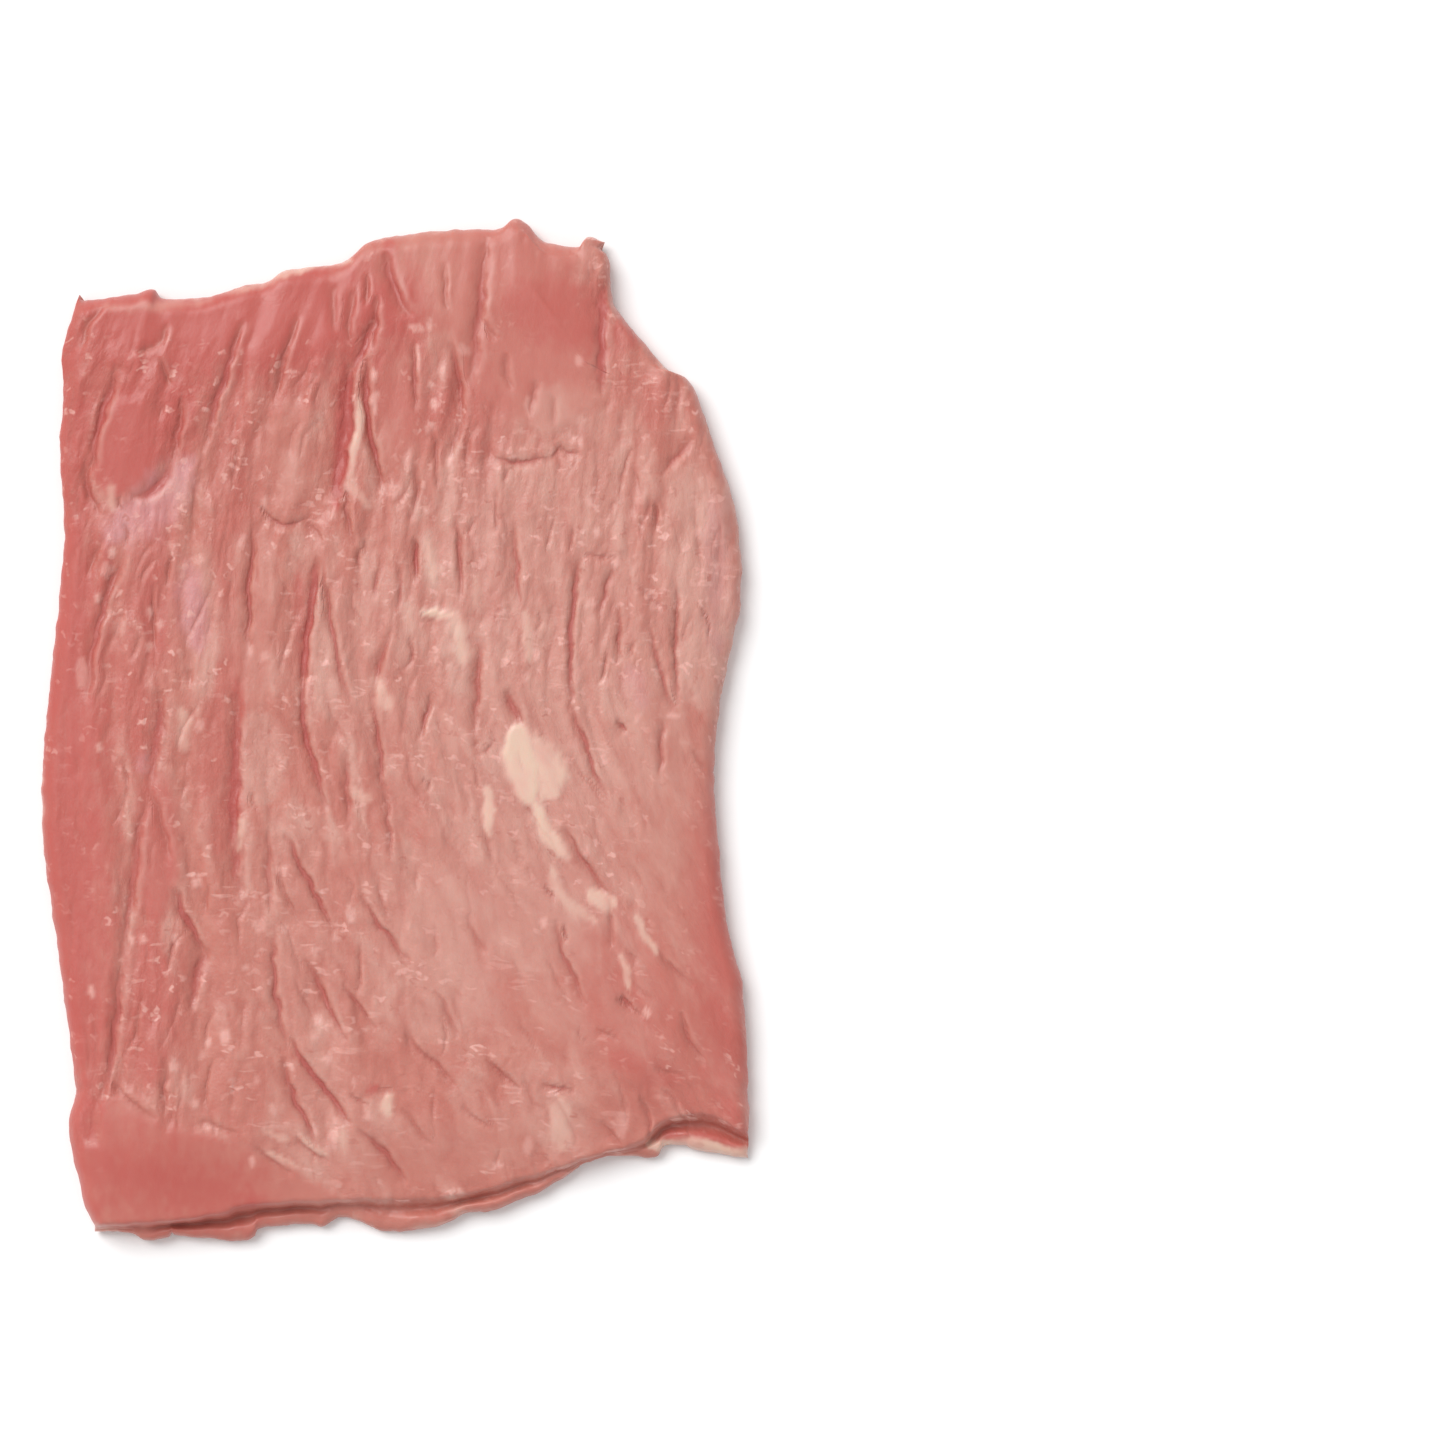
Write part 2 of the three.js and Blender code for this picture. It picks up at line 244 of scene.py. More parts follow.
# %% [markdown]
# ## The grain
# Muscle fibres run from the far end to the near one. They lean a little to the left at
# first, stand upright in the middle and sweep to the right further down. They could be
# drawn as hundreds of curves. Instead every point gets the number of its fibre, which is
# where that fibre crosses the middle. All the relief and colour that follows the meat is
# then written in that number.

# %% Number the fibres
GRAIN_MIDDLE, GRAIN_LEFT, GRAIN_RIGHT = 15, -40, 14
UPPER_LEFT_LEAN, UPPER_RIGHT_LEAN = 0.0031, 0.0012
LOWER_LEAN, LOWER_EASE = 0.7, 45


def across_grain(x, y):
    """The fibre's place at the middle: x less a lean that grows with the distance from it."""
    up, down = np.maximum(0, y - GRAIN_MIDDLE), np.maximum(0, GRAIN_MIDDLE - y)
    lower_shift = LOWER_LEAN * down**2 / (down + LOWER_EASE)
    left_end = GRAIN_LEFT + UPPER_LEFT_LEAN * up**2
    right_end = GRAIN_RIGHT + UPPER_RIGHT_LEAN * up**2 + lower_shift
    share = (x - left_end) / (right_end - left_end)
    between = GRAIN_LEFT + share * (GRAIN_RIGHT - GRAIN_LEFT)
    outside = np.where(x < left_end, GRAIN_LEFT + x - left_end, GRAIN_RIGHT + x - right_end)
    return np.where((share < 0) | (share > 1), outside, between)


fibre = across_grain(x, y)
print("fibres from", fibre.min().round(), "to", fibre.max().round())

# %% [markdown]
# ## Noise
# Between the seams the face is uneven in ways too small to draw one by one. Seeded noise
# makes them. It could be blended from random numbers at the corners of a lattice. Random
# slopes there are no more work, and they leave no blocks behind.

# %% Smooth noise and the creases that it draws


def noise(x, y, seed, cells=61):
    """Noise from about -1 to 1. Each lattice corner slopes its own way, and the four
    slopes round a point are blended by t^3 (6 t^2 - 15 t + 10)."""
    angle = np.random.default_rng(seed).uniform(0, 2 * np.pi, (cells, cells))
    i, j = np.floor(x).astype(int), np.floor(y).astype(int)
    tx, ty = x - i, y - j

    def slope(di, dj):
        a = angle[(i + di) % cells, (j + dj) % cells]
        return np.cos(a) * (tx - di) + np.sin(a) * (ty - dj)

    bx, by = (t**3 * (t * (6 * t - 15) + 10) for t in (tx, ty))
    below = slope(0, 0) * (1 - bx) + slope(1, 0) * bx
    above = slope(0, 1) * (1 - bx) + slope(1, 1) * bx
    return 1.5 * (below * (1 - by) + above * by)


def crease(x, y, seed, width):
    """1 along the lines where the noise is nought, falling off as e^(-|noise| / width)."""
    return np.exp(-np.abs(noise(x, y, seed)) / width)


def step(x, y, seed, width):
    """A low side and a high one, from 0 to 1, which meet in a steep bank where the noise is
    nought: half of 1 + tanh(noise / width)."""
    return 0.5 + 0.5 * np.tanh(noise(x, y, seed) / width)


# %% [markdown]
# ## Arcs
# Seams, films, fat and calm places share one plain shape: an arc over a straight chord. It
# needs only its two ends and its bow, which is how far it swings out to the right halfway.
# Longer curves could be drawn with splines, but an arc is quick to place and to measure
# from. One function says where a point lies beside it, and the next steps all use it.

# %% Where a point lies beside an arc


def over_chord(arc, x, y):
    """How open an arc is beside a point, 4 t (1 - t) for t along its chord, and how far the
    point lies to the right of the arc and past its ends."""
    x0, y0, x1, y1, bow = arc[:5]
    length = np.hypot(x1 - x0, y1 - y0)
    t = ((x - x0) * (x1 - x0) + (y - y0) * (y1 - y0)) / length**2
    aside = ((x - x0) * (y0 - y1) + (y - y0) * (x1 - x0)) / length
    open_ = np.clip(4 * t * (1 - t), 0, 1)
    past_end = length * np.maximum(np.maximum(-t, t - 1), 0)
    return open_, aside - bow * open_, past_end


# %% [markdown]
# ## Patches
# Some places are calm and smooth, some red, some milky, some fat, and tiny knots get a
# painted highlight. They could be painted by hand. Here each is a patch, which is an arc
# again, now with a half width that narrows to both ends and a soft border. The same
# function serves them all, and noise makes the borders ragged.

# %% A function for patches


def ease(value):
    """From 0 to 1 with an even start and end: t^2 (3 - 2t)."""
    t = np.clip(value, 0, 1)
    return t * t * (3 - 2 * t)


def patches(arcs, x, y, ragged):
    """The strongest of the arcs: its strength inside the half width, nothing beyond it, and
    the even rise of ease() over the softness between. The half width shrinks to both ends
    by (4t (1 - t))^0.4, and noise times the raggedness moves the border in and out."""
    wave = noise(x / 2.1, y / 3.1, seed=21) + 0.5 * noise(x / 0.9, y / 1.3, seed=22)
    mask = np.zeros_like(x)
    for arc in arcs:
        half_width, soft, strength = arc[5:]
        open_, aside, past_end = over_chord(arc, x, y)
        inward = half_width * open_**0.4 - np.hypot(aside, past_end) + ragged * soft * wave
        mask = np.maximum(mask, strength * ease(0.5 + inward / (2 * soft)))
    return mask


# %% Calm places: x, y of the far end, x, y of the near end, bow, half width, softness, strength
CALM = [
    (-66, -85, -28, -88.5, 0, 10.5, 1.2, 1), (-51.5, -67.5, -42, -98, 0, 7, 1.2, 1),
    (12, 94, 34, 58, 0, 14, 4, 0.97), (-44, 76, -30, 76, 0, 5, 2, 0.95), (1, 74, 1.5, 48, 0, 4.6, 2, 0.6),
    (-48, 62, -52, 43, 0, 6, 2, 0.9), (-63, 40, -57, -66, 0, 8, 4, 0.6),
    (-44.5, -6, -44, -34, 0, 5, 2.5, 0.6), (-27, 36, -26, 4, 0, 5, 3, 0.6),
    (4, -30, 54, -60, 0, 15, 7, 0.5), (50, 10, 58, -66, 0, 10, 5, 0.6), (-50, -78, -14, -90, 0, 8, 1.2, 1),
    (-42, -86, -8, -91, 0, 7, 1.5, 1), (-10, -82, 28, -74, 0, 6, 4, 0.6), (42, 62, 62, 40, 0, 7, 4, 0.4),
    (36, -36, 38, -48, 0, 4, 1.5, 0.8), (-19.5, 62, -19, 43, 0, 4, 1.5, 0.5),
    (-58, 78, 36, 88, 0, 12, 6, 0.9),
]

calm = patches(CALM, x, y, ragged=0.4)
print("calm places cover", round(100 * float((calm > 0.4).mean())), "% of the face")

# %% Flecks of fat, listed in the same way
FAT = [
    (22.9, 1.2, 25.2, -13.4, -0.4, 3.1, 0.8, 1), (25.4, -11.4, 32.4, -24.4, -0.5, 1.15, 0.7, 0.85),
    (25.8, -1, 29.6, -12.8, 0.8, 3, 1.6, 0.74), (28.9, -25.2, 37.2, -35.6, -1.5, 0.9, 0.7, 0.5),
    (36, -29.8, 41.4, -33, 0, 2, 0.7, 0.65), (17.4, -9.4, 18, -19.8, 0, 1.1, 0.6, 0.72),
    (5, 21.9, 11.2, 22.1, 0, 0.95, 0.45, 0.9), (10.9, 22.5, 13, 12.4, 0.4, 1.4, 1.2, 0.64),
    (24.6, 22.2, 25.1, 12.3, 0, 0.8, 0.5, 0.4), (-6.4, 62.2, -8.1, 47.8, 0.3, 0.8, 0.4, 0.6),
    (-8.3, 49.5, -5, 41.6, -0.6, 0.9, 0.6, 0.4), (-53.2, 46, -52.6, 40.6, 0, 0.8, 0.8, 0.42),
    (30.8, -68, 30.6, -78.4, 0, 2, 1.2, 0.42), (-1.5, -67.2, -1, -71.8, 0, 1.3, 0.8, 0.55),
    (-9.6, -73.4, -9.4, -79.4, 0, 1, 0.8, 0.4), (-28.3, -16.2, -29.3, -23.2, -0.4, 0.9, 0.6, 0.5),
    (-3.9, 10.6, -1, 4, 0.3, 1.4, 1.1, 0.52), (-9, -11.2, -4, -12.8, 0, 1, 0.8, 0.4),
    (-39.9, 4.2, -39.5, -3.2, 0.4, 1.3, 0.9, 0.4), (42.4, -41.4, 43.9, -48.4, 0.3, 0.7, 0.4, 0.55),
    (45, -34.8, 49, -41.6, 0, 0.8, 0.5, 0.5), (6.2, 35.6, 7.6, 28.2, 0, 1.2, 0.8, 0.4),
    (-56, 79.6, -34, 80.2, -0.6, 0.8, 1, 0.25), (-40, 80.6, -22, 84, 0.3, 0.9, 1, 0.4),
    (-27, 83.8, -8, 88.2, 0.7, 1.2, 0.8, 0.6), (46.6, -77, 67.6, -79.2, 0, 1.6, 0.5, 0.75),
    (-57.4, -92.9, -52, -93.3, 0, 0.9, 0.9, 0.35), (3.4, -92.4, 11, -92, 0, 0.8, 0.9, 0.3),
    (-65, 20, -63, -46, -2.6, 0.5, 0.6, 0.5), (-24.7, -74.2, -19.4, -76.7, 0, 0.6, 0.5, 0.35),
    (-18.2, -75, -12.8, -79, 0, 0.6, 0.5, 0.4), (-24.6, -78.2, -17.8, -81.6, 0, 0.6, 0.5, 0.4),
    (2.6, 24.4, 3.2, 18, 0, 0.8, 0.8, 0.35), (15.4, 29, 15.1, 22, 0, 0.7, 0.7, 0.3),
]

bent_x = x + 0.5 * noise(x / 5, y / 4, seed=1) + 0.25 * noise(x / 2, y / 1.6, seed=2)
bent_y = y + 0.8 * noise(x / 6, y / 6, seed=3)
fat = patches(FAT, bent_x, bent_y, ragged=0.6)
rough = (1 - calm) * (1 - fat)
print("fat covers", round(100 * float((fat > 0.4).mean()), 1), "% of it")

# %% Small knots with a painted highlight: x, y, half width, half length, strength
HIGHLIGHT_KNOT_SOFTNESS = 0.45
HIGHLIGHT_KNOTS = [
    (16.3, 31.5, 0.7, 0.9, 0.9), (15, 35.3, 0.5, 1.4, 0.7), (26.5, 14.2, 0.6, 1, 0.9),
    (24.7, 10.2, 0.5, 0.9, 0.9), (19.5, 19.8, 0.4, 1.7, 0.6), (36.8, 23.8, 1.2, 0.7, 0.7),
    (41.4, 31.5, 0.7, 0.8, 0.8), (37.7, 37.2, 0.7, 0.8, 0.7), (36.7, 42.9, 0.8, 0.9, 0.6),
    (45.3, 43.2, 0.9, 1, 0.6), (44.4, 40.6, 0.7, 1.2, 0.5), (51.9, 3, 1, 0.7, 0.8),
    (45.6, 2.5, 0.7, 0.7, 0.7), (56.5, 37.2, 0.6, 0.8, 0.6), (48.9, 23.5, 1.2, 0.7, 0.5),
    (34.2, 11, 0.5, 2.6, 0.5), (39.7, 9, 0.6, 0.9, 0.6), (47, -52.4, 0.9, 0.9, 0.9),
    (27.5, -35.6, 0.7, 0.8, 0.8), (36.2, -22.4, 0.6, 0.8, 0.8), (29.5, -67.4, 1, 0.7, 0.8),
    (-36.5, -28.4, 0.8, 0.9, 0.8), (-48.9, -38.8, 0.7, 0.8, 0.7), (-46.5, -38.8, 0.8, 0.8, 0.6),
    (-41, -38.9, 0.8, 0.9, 0.8), (-56.7, -48.5, 0.7, 1, 0.7), (-21.2, -26, 1.3, 0.8, 0.7),
    (-25.1, -36, 1.2, 1.2, 0.5), (-20.6, -36.9, 0.8, 1, 0.6), (-8, -34, 1, 1.4, 0.9),
    (-11, -38.6, 0.7, 0.8, 0.7), (-14.6, -40.9, 0.7, 0.8, 0.7), (-13.9, -53.8, 0.9, 1, 0.8),
    (-14.8, -57.2, 1, 0.6, 0.6), (-12.4, -61, 0.9, 0.9, 0.7), (-34.8, -57.9, 0.6, 0.8, 0.8),
    (-31.3, -57.2, 0.9, 1.3, 0.7), (-35.8, -60.7, 0.6, 0.8, 0.6), (-41.2, -62.5, 1, 1.2, 0.6),
    (-36.1, -45.1, 0.6, 2.2, 0.6), (-37.1, -50.5, 0.7, 1.4, 0.8), (-34.5, -73.6, 0.9, 0.8, 0.7),
    (-14.9, -74.4, 0.6, 1.2, 0.8), (-11.4, -75.4, 1.1, 1, 0.9), (-10.8, -72.9, 0.7, 0.8, 0.7),
    (-27.4, -44.1, 0.7, 0.7, 0.7), (-37.2, -69.4, 0.8, 0.8, 0.6), (-52.3, 33.5, 0.9, 1, 0.8),
    (-53.6, 30, 1.5, 1.3, 0.45), (-55.3, 24.8, 0.6, 0.9, 0.7), (-45.6, 22.1, 0.6, 1, 0.8),
    (-43.9, 19.8, 0.6, 0.8, 0.7), (-45.8, 16, 0.8, 0.9, 0.7), (-51.3, 19.4, 1.2, 1.8, 0.45),
    (-41.2, 34.2, 0.8, 0.7, 0.6), (-39.6, 28.8, 0.7, 0.8, 0.7), (-36.2, 31.8, 1.2, 0.8, 0.5),
    (-58.2, 11, 1.2, 3, 0.45), (-55, -3, 0.8, 0.7, 0.7), (-36.2, 1, 0.9, 1.2, 0.6),
    (-27.5, 15.4, 0.7, 0.9, 0.7), (-24.2, 14, 0.8, 1, 0.6), (-16.3, 8.4, 0.6, 1.8, 0.7),
    (-3.6, 61.2, 0.5, 2.2, 0.8), (-4, 66.4, 0.6, 1, 0.8), (-24, 42.3, 0.6, 1.4, 0.6),
    (-0.7, 45, 1.9, 1.4, 0.6), (2.8, 50.5, 0.8, 1.9, 0.5), (4.3, 69.4, 0.5, 2.4, 0.7),
    (7.3, 61, 0.7, 1, 0.8), (6.9, 56.6, 1.3, 0.9, 0.5), (10.6, 50.4, 0.6, 1.8, 0.7),
    (13.2, 71.2, 1.3, 0.9, 0.4), (-11.5, 40.8, 0.7, 1.3, 0.5), (-8.4, 45.3, 0.6, 0.9, 0.7),
    (42.4, -73.4, 1.3, 2.6, 0.5), (24.9, -77.2, 0.8, 2, 0.4), (19.6, -81.1, 1.1, 0.6, 0.6),
    (24.8, 60.6, 0.6, 2, 0.5), (34.4, 69.1, 0.6, 1.1, 0.6), (34.9, 57.1, 0.6, 1.6, 0.5),
    (33, 54.6, 1.2, 0.8, 0.5), (34.9, 53.6, 0.6, 0.9, 0.7), (-12.1, -77.1, 1.5, 1.3, 0.6),
    (-26.7, -80.2, 0.6, 1.1, 0.6), (-22.2, -70.7, 0.6, 0.9, 0.5), (-25.7, -65.2, 0.5, 0.9, 0.6),
    (-30.2, -65.2, 0.8, 0.7, 0.5), (-4.9, -71.9, 0.9, 0.7, 0.6), (-7.1, -65.4, 0.5, 1, 0.6),
    (4.1, 75.2, 1.6, 0.6, 0.6), (6.6, 75.7, 0.5, 1.2, 0.6), (7.2, 64.5, 0.6, 0.6, 0.8),
    (9, 66.7, 0.5, 1.5, 0.4),
]

highlight_knot_arcs = [
    (middle_x, middle_y + long, middle_x, middle_y - long, 0, wide, HIGHLIGHT_KNOT_SOFTNESS, strength)
    for middle_x, middle_y, wide, long, strength in HIGHLIGHT_KNOTS
]
highlight_knot = patches(highlight_knot_arcs, bent_x, y, ragged=0.5)
print(len(HIGHLIGHT_KNOTS), "knots")

# %% [markdown]
# ## Seams
# The bundles part along seams. Each seam is an arc with a width and a depth. The right bank
# is steep and stands up a little, the left one is gentle, so the light from the left draws
# a dark line beside a bright one. A little noise bends them, because nothing in meat
# follows a true arc. Noise could make all the seams, but they would be too much alike. So
# the large ones are listed one by one, and small ones are drawn at random along the fibres
# wherever the face isn't calm.

# %% The large seams: x, y of the far end, x, y of the near end, bow, width, depth
SEAMS = [
    (-27.8, 77, -35.3, 52.5, -0.5, 1.1, 1), (-35.3, 54, -38.3, 36, 0, 1, 0.5),
    (-18, 77.3, -22.1, 60.9, -0.3, 0.8, 0.7), (-54.4, 79.7, -58.5, 71.3, -0.5, 0.7, 0.5),
    (-42, 76.5, -44.3, 71.6, 0, 0.8, 0.5), (-51.2, 68.4, -56.9, 48.5, -0.6, 1.1, 1),
    (-41.6, 50.5, -49.5, 43.6, 2, 1.3, 1), (-8.1, 68.5, -10.9, 43, 0.5, 1.5, 1.6),
    (-4.9, 71.2, -1.7, 45, -1.5, 0.8, 1.1), (-3, 81.5, -4.5, 71, 0.3, 0.9, 0.8),
    (-25, 42.2, -15.2, 39.8, -1.8, 0.7, 0.8), (-16.9, 38.6, -13, 35.2, 0, 0.7, 0.5),
    (-25.9, 53, -28.9, 5, 0.9, 1.8, 0.5), (-9, 47, -7.7, 34.5, -0.4, 0.7, 0.7),
    (17, 93, 14.2, 64, 0.3, 1.3, 0.8), (10.3, 73.4, 12.7, 57.6, 0.5, 1, 0.8),
    (12.7, 59, 9.6, 50.5, 0.5, 1, 0.6), (38.8, 86, 38.4, 62.5, 0.3, 1.4, 1.1),
    (3.6, 72.5, 3.9, 59, 0, 0.7, 0.8), (17.8, 51.4, 29.6, 50.4, -0.8, 0.7, 0.8),
    (55.9, 55, 49.7, 47, 0, 0.9, 0.7), (48, 43.8, 45.8, 36.8, 0.4, 0.7, 0.5),
    (-49.9, 34, -57, 6, -1.6, 1, 0.9), (-43.1, 8, -45.8, -10.5, 0.3, 1.7, 0.9),
    (-28.7, 8, -28.9, -32, -0.9, 1.5, 1.1), (-14.4, 32.5, -17.4, 8, 0.2, 1, 1.4),
    (-17.4, 11, -12, -14.5, -1.4, 0.9, 1), (-13.7, 31.5, -8.3, 4.5, -0.4, 0.8, 0.8),
    (-4.5, 6.5, -1.9, -12.5, 0.5, 0.8, 0.8), (-1.9, -10.5, -0.2, -24, 0, 0.8, 0.6),
    (-8.8, -2.5, -8.4, -19.2, 0, 1, 0.7), (-23.3, -17.4, -23.4, -34, 0, 0.9, 0.6),
    (-45.8, -9, -41.3, -24, 0, 0.9, 0.6), (-46.1, -10, -51, -44, 0, 1.2, 0.8),
    (3.8, 35.6, 4.1, 28, 0, 0.8, 1), (11.6, 40.6, 12.4, 24, 0.3, 0.8, 0.7),
    (22.3, 38.8, 23.6, 23, 0, 0.8, 0.7), (34.9, 34, 33, 3.5, -0.8, 0.9, 0.9),
    (33, 6, 39.9, -12.6, -0.4, 0.8, 0.8), (16.1, 17.4, 14.6, -0.5, 0.3, 1.1, 0.7),
    (21, 8, 23.6, 0.5, 0, 1.3, 0.8), (47.6, 20.9, 52.9, 2.8, -0.8, 0.8, 0.7),
    (55.9, -2.5, 58.1, -7.4, 0, 0.8, 0.5), (-51, -42, -54.8, -70, 0.8, 1.1, 0.9),
    (-53.6, -64.2, -44, -72.2, -0.8, 0.7, 0.6), (-42.6, -60.8, -43.1, -72, 0.2, 0.7, 0.6),
    (-40.9, -29, -34.9, -41.5, -0.6, 1, 1), (-34.9, -39.5, -37.9, -53, -0.5, 1.5, 0.8),
    (-20.6, -18.5, -11.1, -37.5, 0, 0.8, 0.9), (-22.5, -36.5, -19.9, -60, -0.9, 0.9, 0.8),
    (-19.9, -56.5, -7.5, -73.5, -0.5, 0.9, 1.1), (-21, -61.5, -14.4, -77, -0.3, 0.9, 0.9),
    (-16.3, -42, -8.6, -57.5, -0.6, 0.8, 0.8), (-9.6, -46.5, -3.6, -55.5, -0.3, 0.7, 0.7),
    (-6, -30.5, 3, -43, -0.8, 0.8, 0.8), (-36.8, -72.5, -29, -75.2, 0.2, 0.7, 0.5),
    (-26.6, -77.3, -19.2, -82.7, -0.2, 0.7, 0.6), (-6.8, -74.5, 2.3, -84.4, 1, 0.9, 0.8),
    (1.9, -55.5, 12, -66, -0.6, 0.8, 0.7), (7.5, -48.5, 12.4, -56.6, 0, 0.7, 0.5),
    (16.7, -61, 23.4, -67, -0.3, 0.7, 0.7), (27, -65.4, 34, -67.3, -0.2, 0.6, 0.8),
    (30, -35, 36, -51.5, -0.7, 0.8, 0.7), (41.4, -49.1, 46.3, -53.3, 0, 0.7, 0.6),
    (49.6, -40.6, 55.8, -47.5, -0.6, 0.7, 0.6), (53.3, -52.2, 58.2, -62.6, -0.5, 0.8, 0.7),
    (37.5, -55.6, 42.2, -57.9, 0, 0.6, 0.5), (12.4, -70.1, 18.2, -74.6, 0, 0.6, 0.5),
    (1.7, -70.6, 7.8, -77.3, -0.5, 0.7, 0.5), (13.5, -34.4, 17.3, -41.9, -0.4, 0.8, 0.5),
    (31.3, -18, 41.6, -31.4, -0.6, 0.9, 0.7), (38.9, -72.6, 42.6, -77.5, 0, 0.7, 0.5),
    (48.2, -62.5, 53.8, -64.2, 0, 0.6, 0.4), (40.3, -31.5, 40.7, -40.6, 0, 0.8, 0.5),
    (-57, 51, -55, 40.5, -0.8, 0.9, 0.8), (-39.6, 62.5, -42, 48.2, 0.5, 0.9, 0.8),
    (-28.9, 54.5, -30.2, 45.5, 0, 0.6, 0.6), (-44, 72.2, -48.6, 70.8, 0.3, 0.7, 0.5),
    (-43.7, 69.4, -41.6, 64.8, 0, 0.6, 0.6), (-3.4, 77.5, -8, 66.5, 0.3, 1, 1.1),
    (29.2, 50.2, 31.2, 53.6, 0, 0.6, 0.6), (30.8, 53.2, 34.4, 52.6, -0.6, 0.6, 0.7),
    (22.3, 49.9, 20.3, 46.6, 0, 0.5, 0.5), (-0.2, 19, -4.4, 5, -0.5, 0.9, 0.7),
    (6.9, 6.8, 4.9, -1.2, 0.2, 0.8, 0.8), (14.4, -2.4, 19.9, -2.7, 0, 0.35, 0.5),
    (15, -3.9, 20.4, -3.7, 0, 0.35, 0.5), (-26.6, 39.5, -27.4, 14, 0.2, 0.8, 0.9),
    (42.4, -49, 44.6, -51.2, 0, 0.6, 0.9), (28.2, -29.4, 30.2, -31.2, 0, 0.5, 0.6),
    (34, -24.4, 36.2, -24.9, 0, 0.4, 0.6), (31.8, -35.8, 32.6, -38.6, 0, 0.5, 0.6),
    (16.1, 80, 19.4, 72.8, -0.8, 0.9, 0.5), (20.6, 70, 21.6, 63.4, 0, 0.8, 0.5),
    (26.8, 65.6, 25.3, 58.3, 0, 0.9, 0.5), (29.8, 62.4, 30, 57.2, 0, 0.8, 0.4),
    (-1.2, 89.5, 3, 76.8, -1, 1.3, 0.9), (9.5, 87, 9.6, 79, 0, 0.7, 0.5), (-8, 82.6, -8.4, 72, 0, 1, 0.6),
    (-5, 85.2, -5.2, 79.6, 0, 0.7, 0.6), (-11, 83.6, -11.4, 74, 0, 1.1, 0.5),
    (-18.6, -76.2, -12.4, -80, 0.3, 0.7, 0.7), (-8.4, -67.6, -4.6, -69, 0, 0.5, 0.7),
    (-3.4, -66.2, -0.4, -66.8, 0, 0.4, 0.6), (34.8, 33.7, 42, 33.2, -0.4, 0.5, 0.6),
    (48.5, 42.8, 49.2, 37.4, 0, 0.5, 0.7), (33.1, 37.4, 32.5, 33.2, 0, 0.5, 0.6),
    (40.9, 30.2, 38.6, 21.2, -0.4, 0.9, 0.7), (42.1, 23.8, 41.7, 12.4, 0, 0.7, 0.7),
    (39.3, 15, 38.9, 9.4, 0, 0.5, 0.6), (44.6, 27.4, 51.4, 22.4, 0, 0.5, 0.5),
    (52.8, 29.2, 53.3, 4.4, -0.3, 0.7, 0.7), (41.6, 2.2, 43.2, -0.4, 0, 0.6, 0.9),
    (50.2, 2, 49.6, -8.4, 0, 0.7, 0.6), (-2.6, 30.8, -3.8, 24.6, 0, 0.7, 0.7),
    (1.2, 31.2, 0.8, 21.4, 0, 0.8, 0.6), (19.3, 44.8, 18.8, 36.6, 0, 0.6, 0.5),
    (-6.8, 34.4, -6.4, 29.6, 0, 0.5, 0.6),
]
print(len(SEAMS), "large seams")

# %% Small seams, drawn at random along the fibres
SMALL_SEAMS, SEED = 330, 50
draw = np.random.default_rng(SEED)


def drawn(least, most):
    """One random number for each small seam."""
    return draw.uniform(least, most, SMALL_SEAMS)


def fibre_lean(x, y):
    """How far x moves along a fibre for each millimetre of y. A fibre keeps its number, so
    this is the number's change along y over its change along x, with the sign turned."""
    nudge = 0.1
    along_x = across_grain(x + nudge, y) - across_grain(x - nudge, y)
    along_y = across_grain(x, y + nudge) - across_grain(x, y - nudge)
    return -along_y / along_x


middle_x, middle_y, half_length = drawn(-60, 62), drawn(-80, 88), drawn(1.2, 6.5)
reach_x = half_length * (fibre_lean(middle_x, middle_y) + drawn(-0.45, 0.45))
calm_there = patches(CALM, middle_x, middle_y, ragged=0.4)
# Each is an arc as in the list above: two ends, bow, width and depth.
small_seams = [middle_x + reach_x, middle_y + half_length, middle_x - reach_x]
small_seams += [middle_y - half_length, drawn(-1.1, 1.1), drawn(0.4, 0.7)]
small_seams += [drawn(0.15, 0.6) * (1 - calm_there)]
small_seams = np.stack(small_seams, axis=1)
print(SMALL_SEAMS, "small seams of", (2 * half_length).mean().round(1), "mm")

# %% The section of one seam
SEAM_DEPTH, GENTLE_BANK, STEEP_BANK, NARROWEST = 0.72, 1.3, 0.55, 0.45
RIDGE_HEIGHT, RIDGE_AT, RIDGE_WIDTH = 0.15, 1.5, 0.7


def seam(arc, x, y):
    """Depth times a bell curve across the seam, wide to its left and narrow to its right,
    less a low ridge on the right bank, all fading to nothing at both ends. With it come the
    distance to the right of the seam, counted in its widths, and its fading strength."""
    width, depth = arc[5:]
    open_, aside, _ = over_chord(arc, x, y)
    across = aside / width
    bank = np.maximum(width * np.where(aside < 0, GENTLE_BANK, STEEP_BANK), NARROWEST)
    groove = np.exp(-((aside / bank) ** 2))
    ridge = RIDGE_HEIGHT * np.exp(-(((across - RIDGE_AT) / RIDGE_WIDTH) ** 2))
    ridge = np.where(across < 0, 0, ridge)
    taper = depth * open_**0.6
    return SEAM_DEPTH * taper * (groove - ridge), across, taper


# %% Cut the seams
LINE_REACH, LINE_FLOOR = 1.5, 0.15
# Two seams whose strengths multiply to more than this are in each other's way.
CROWDED = 0.02
FILLED_BY_FAT = 0.8

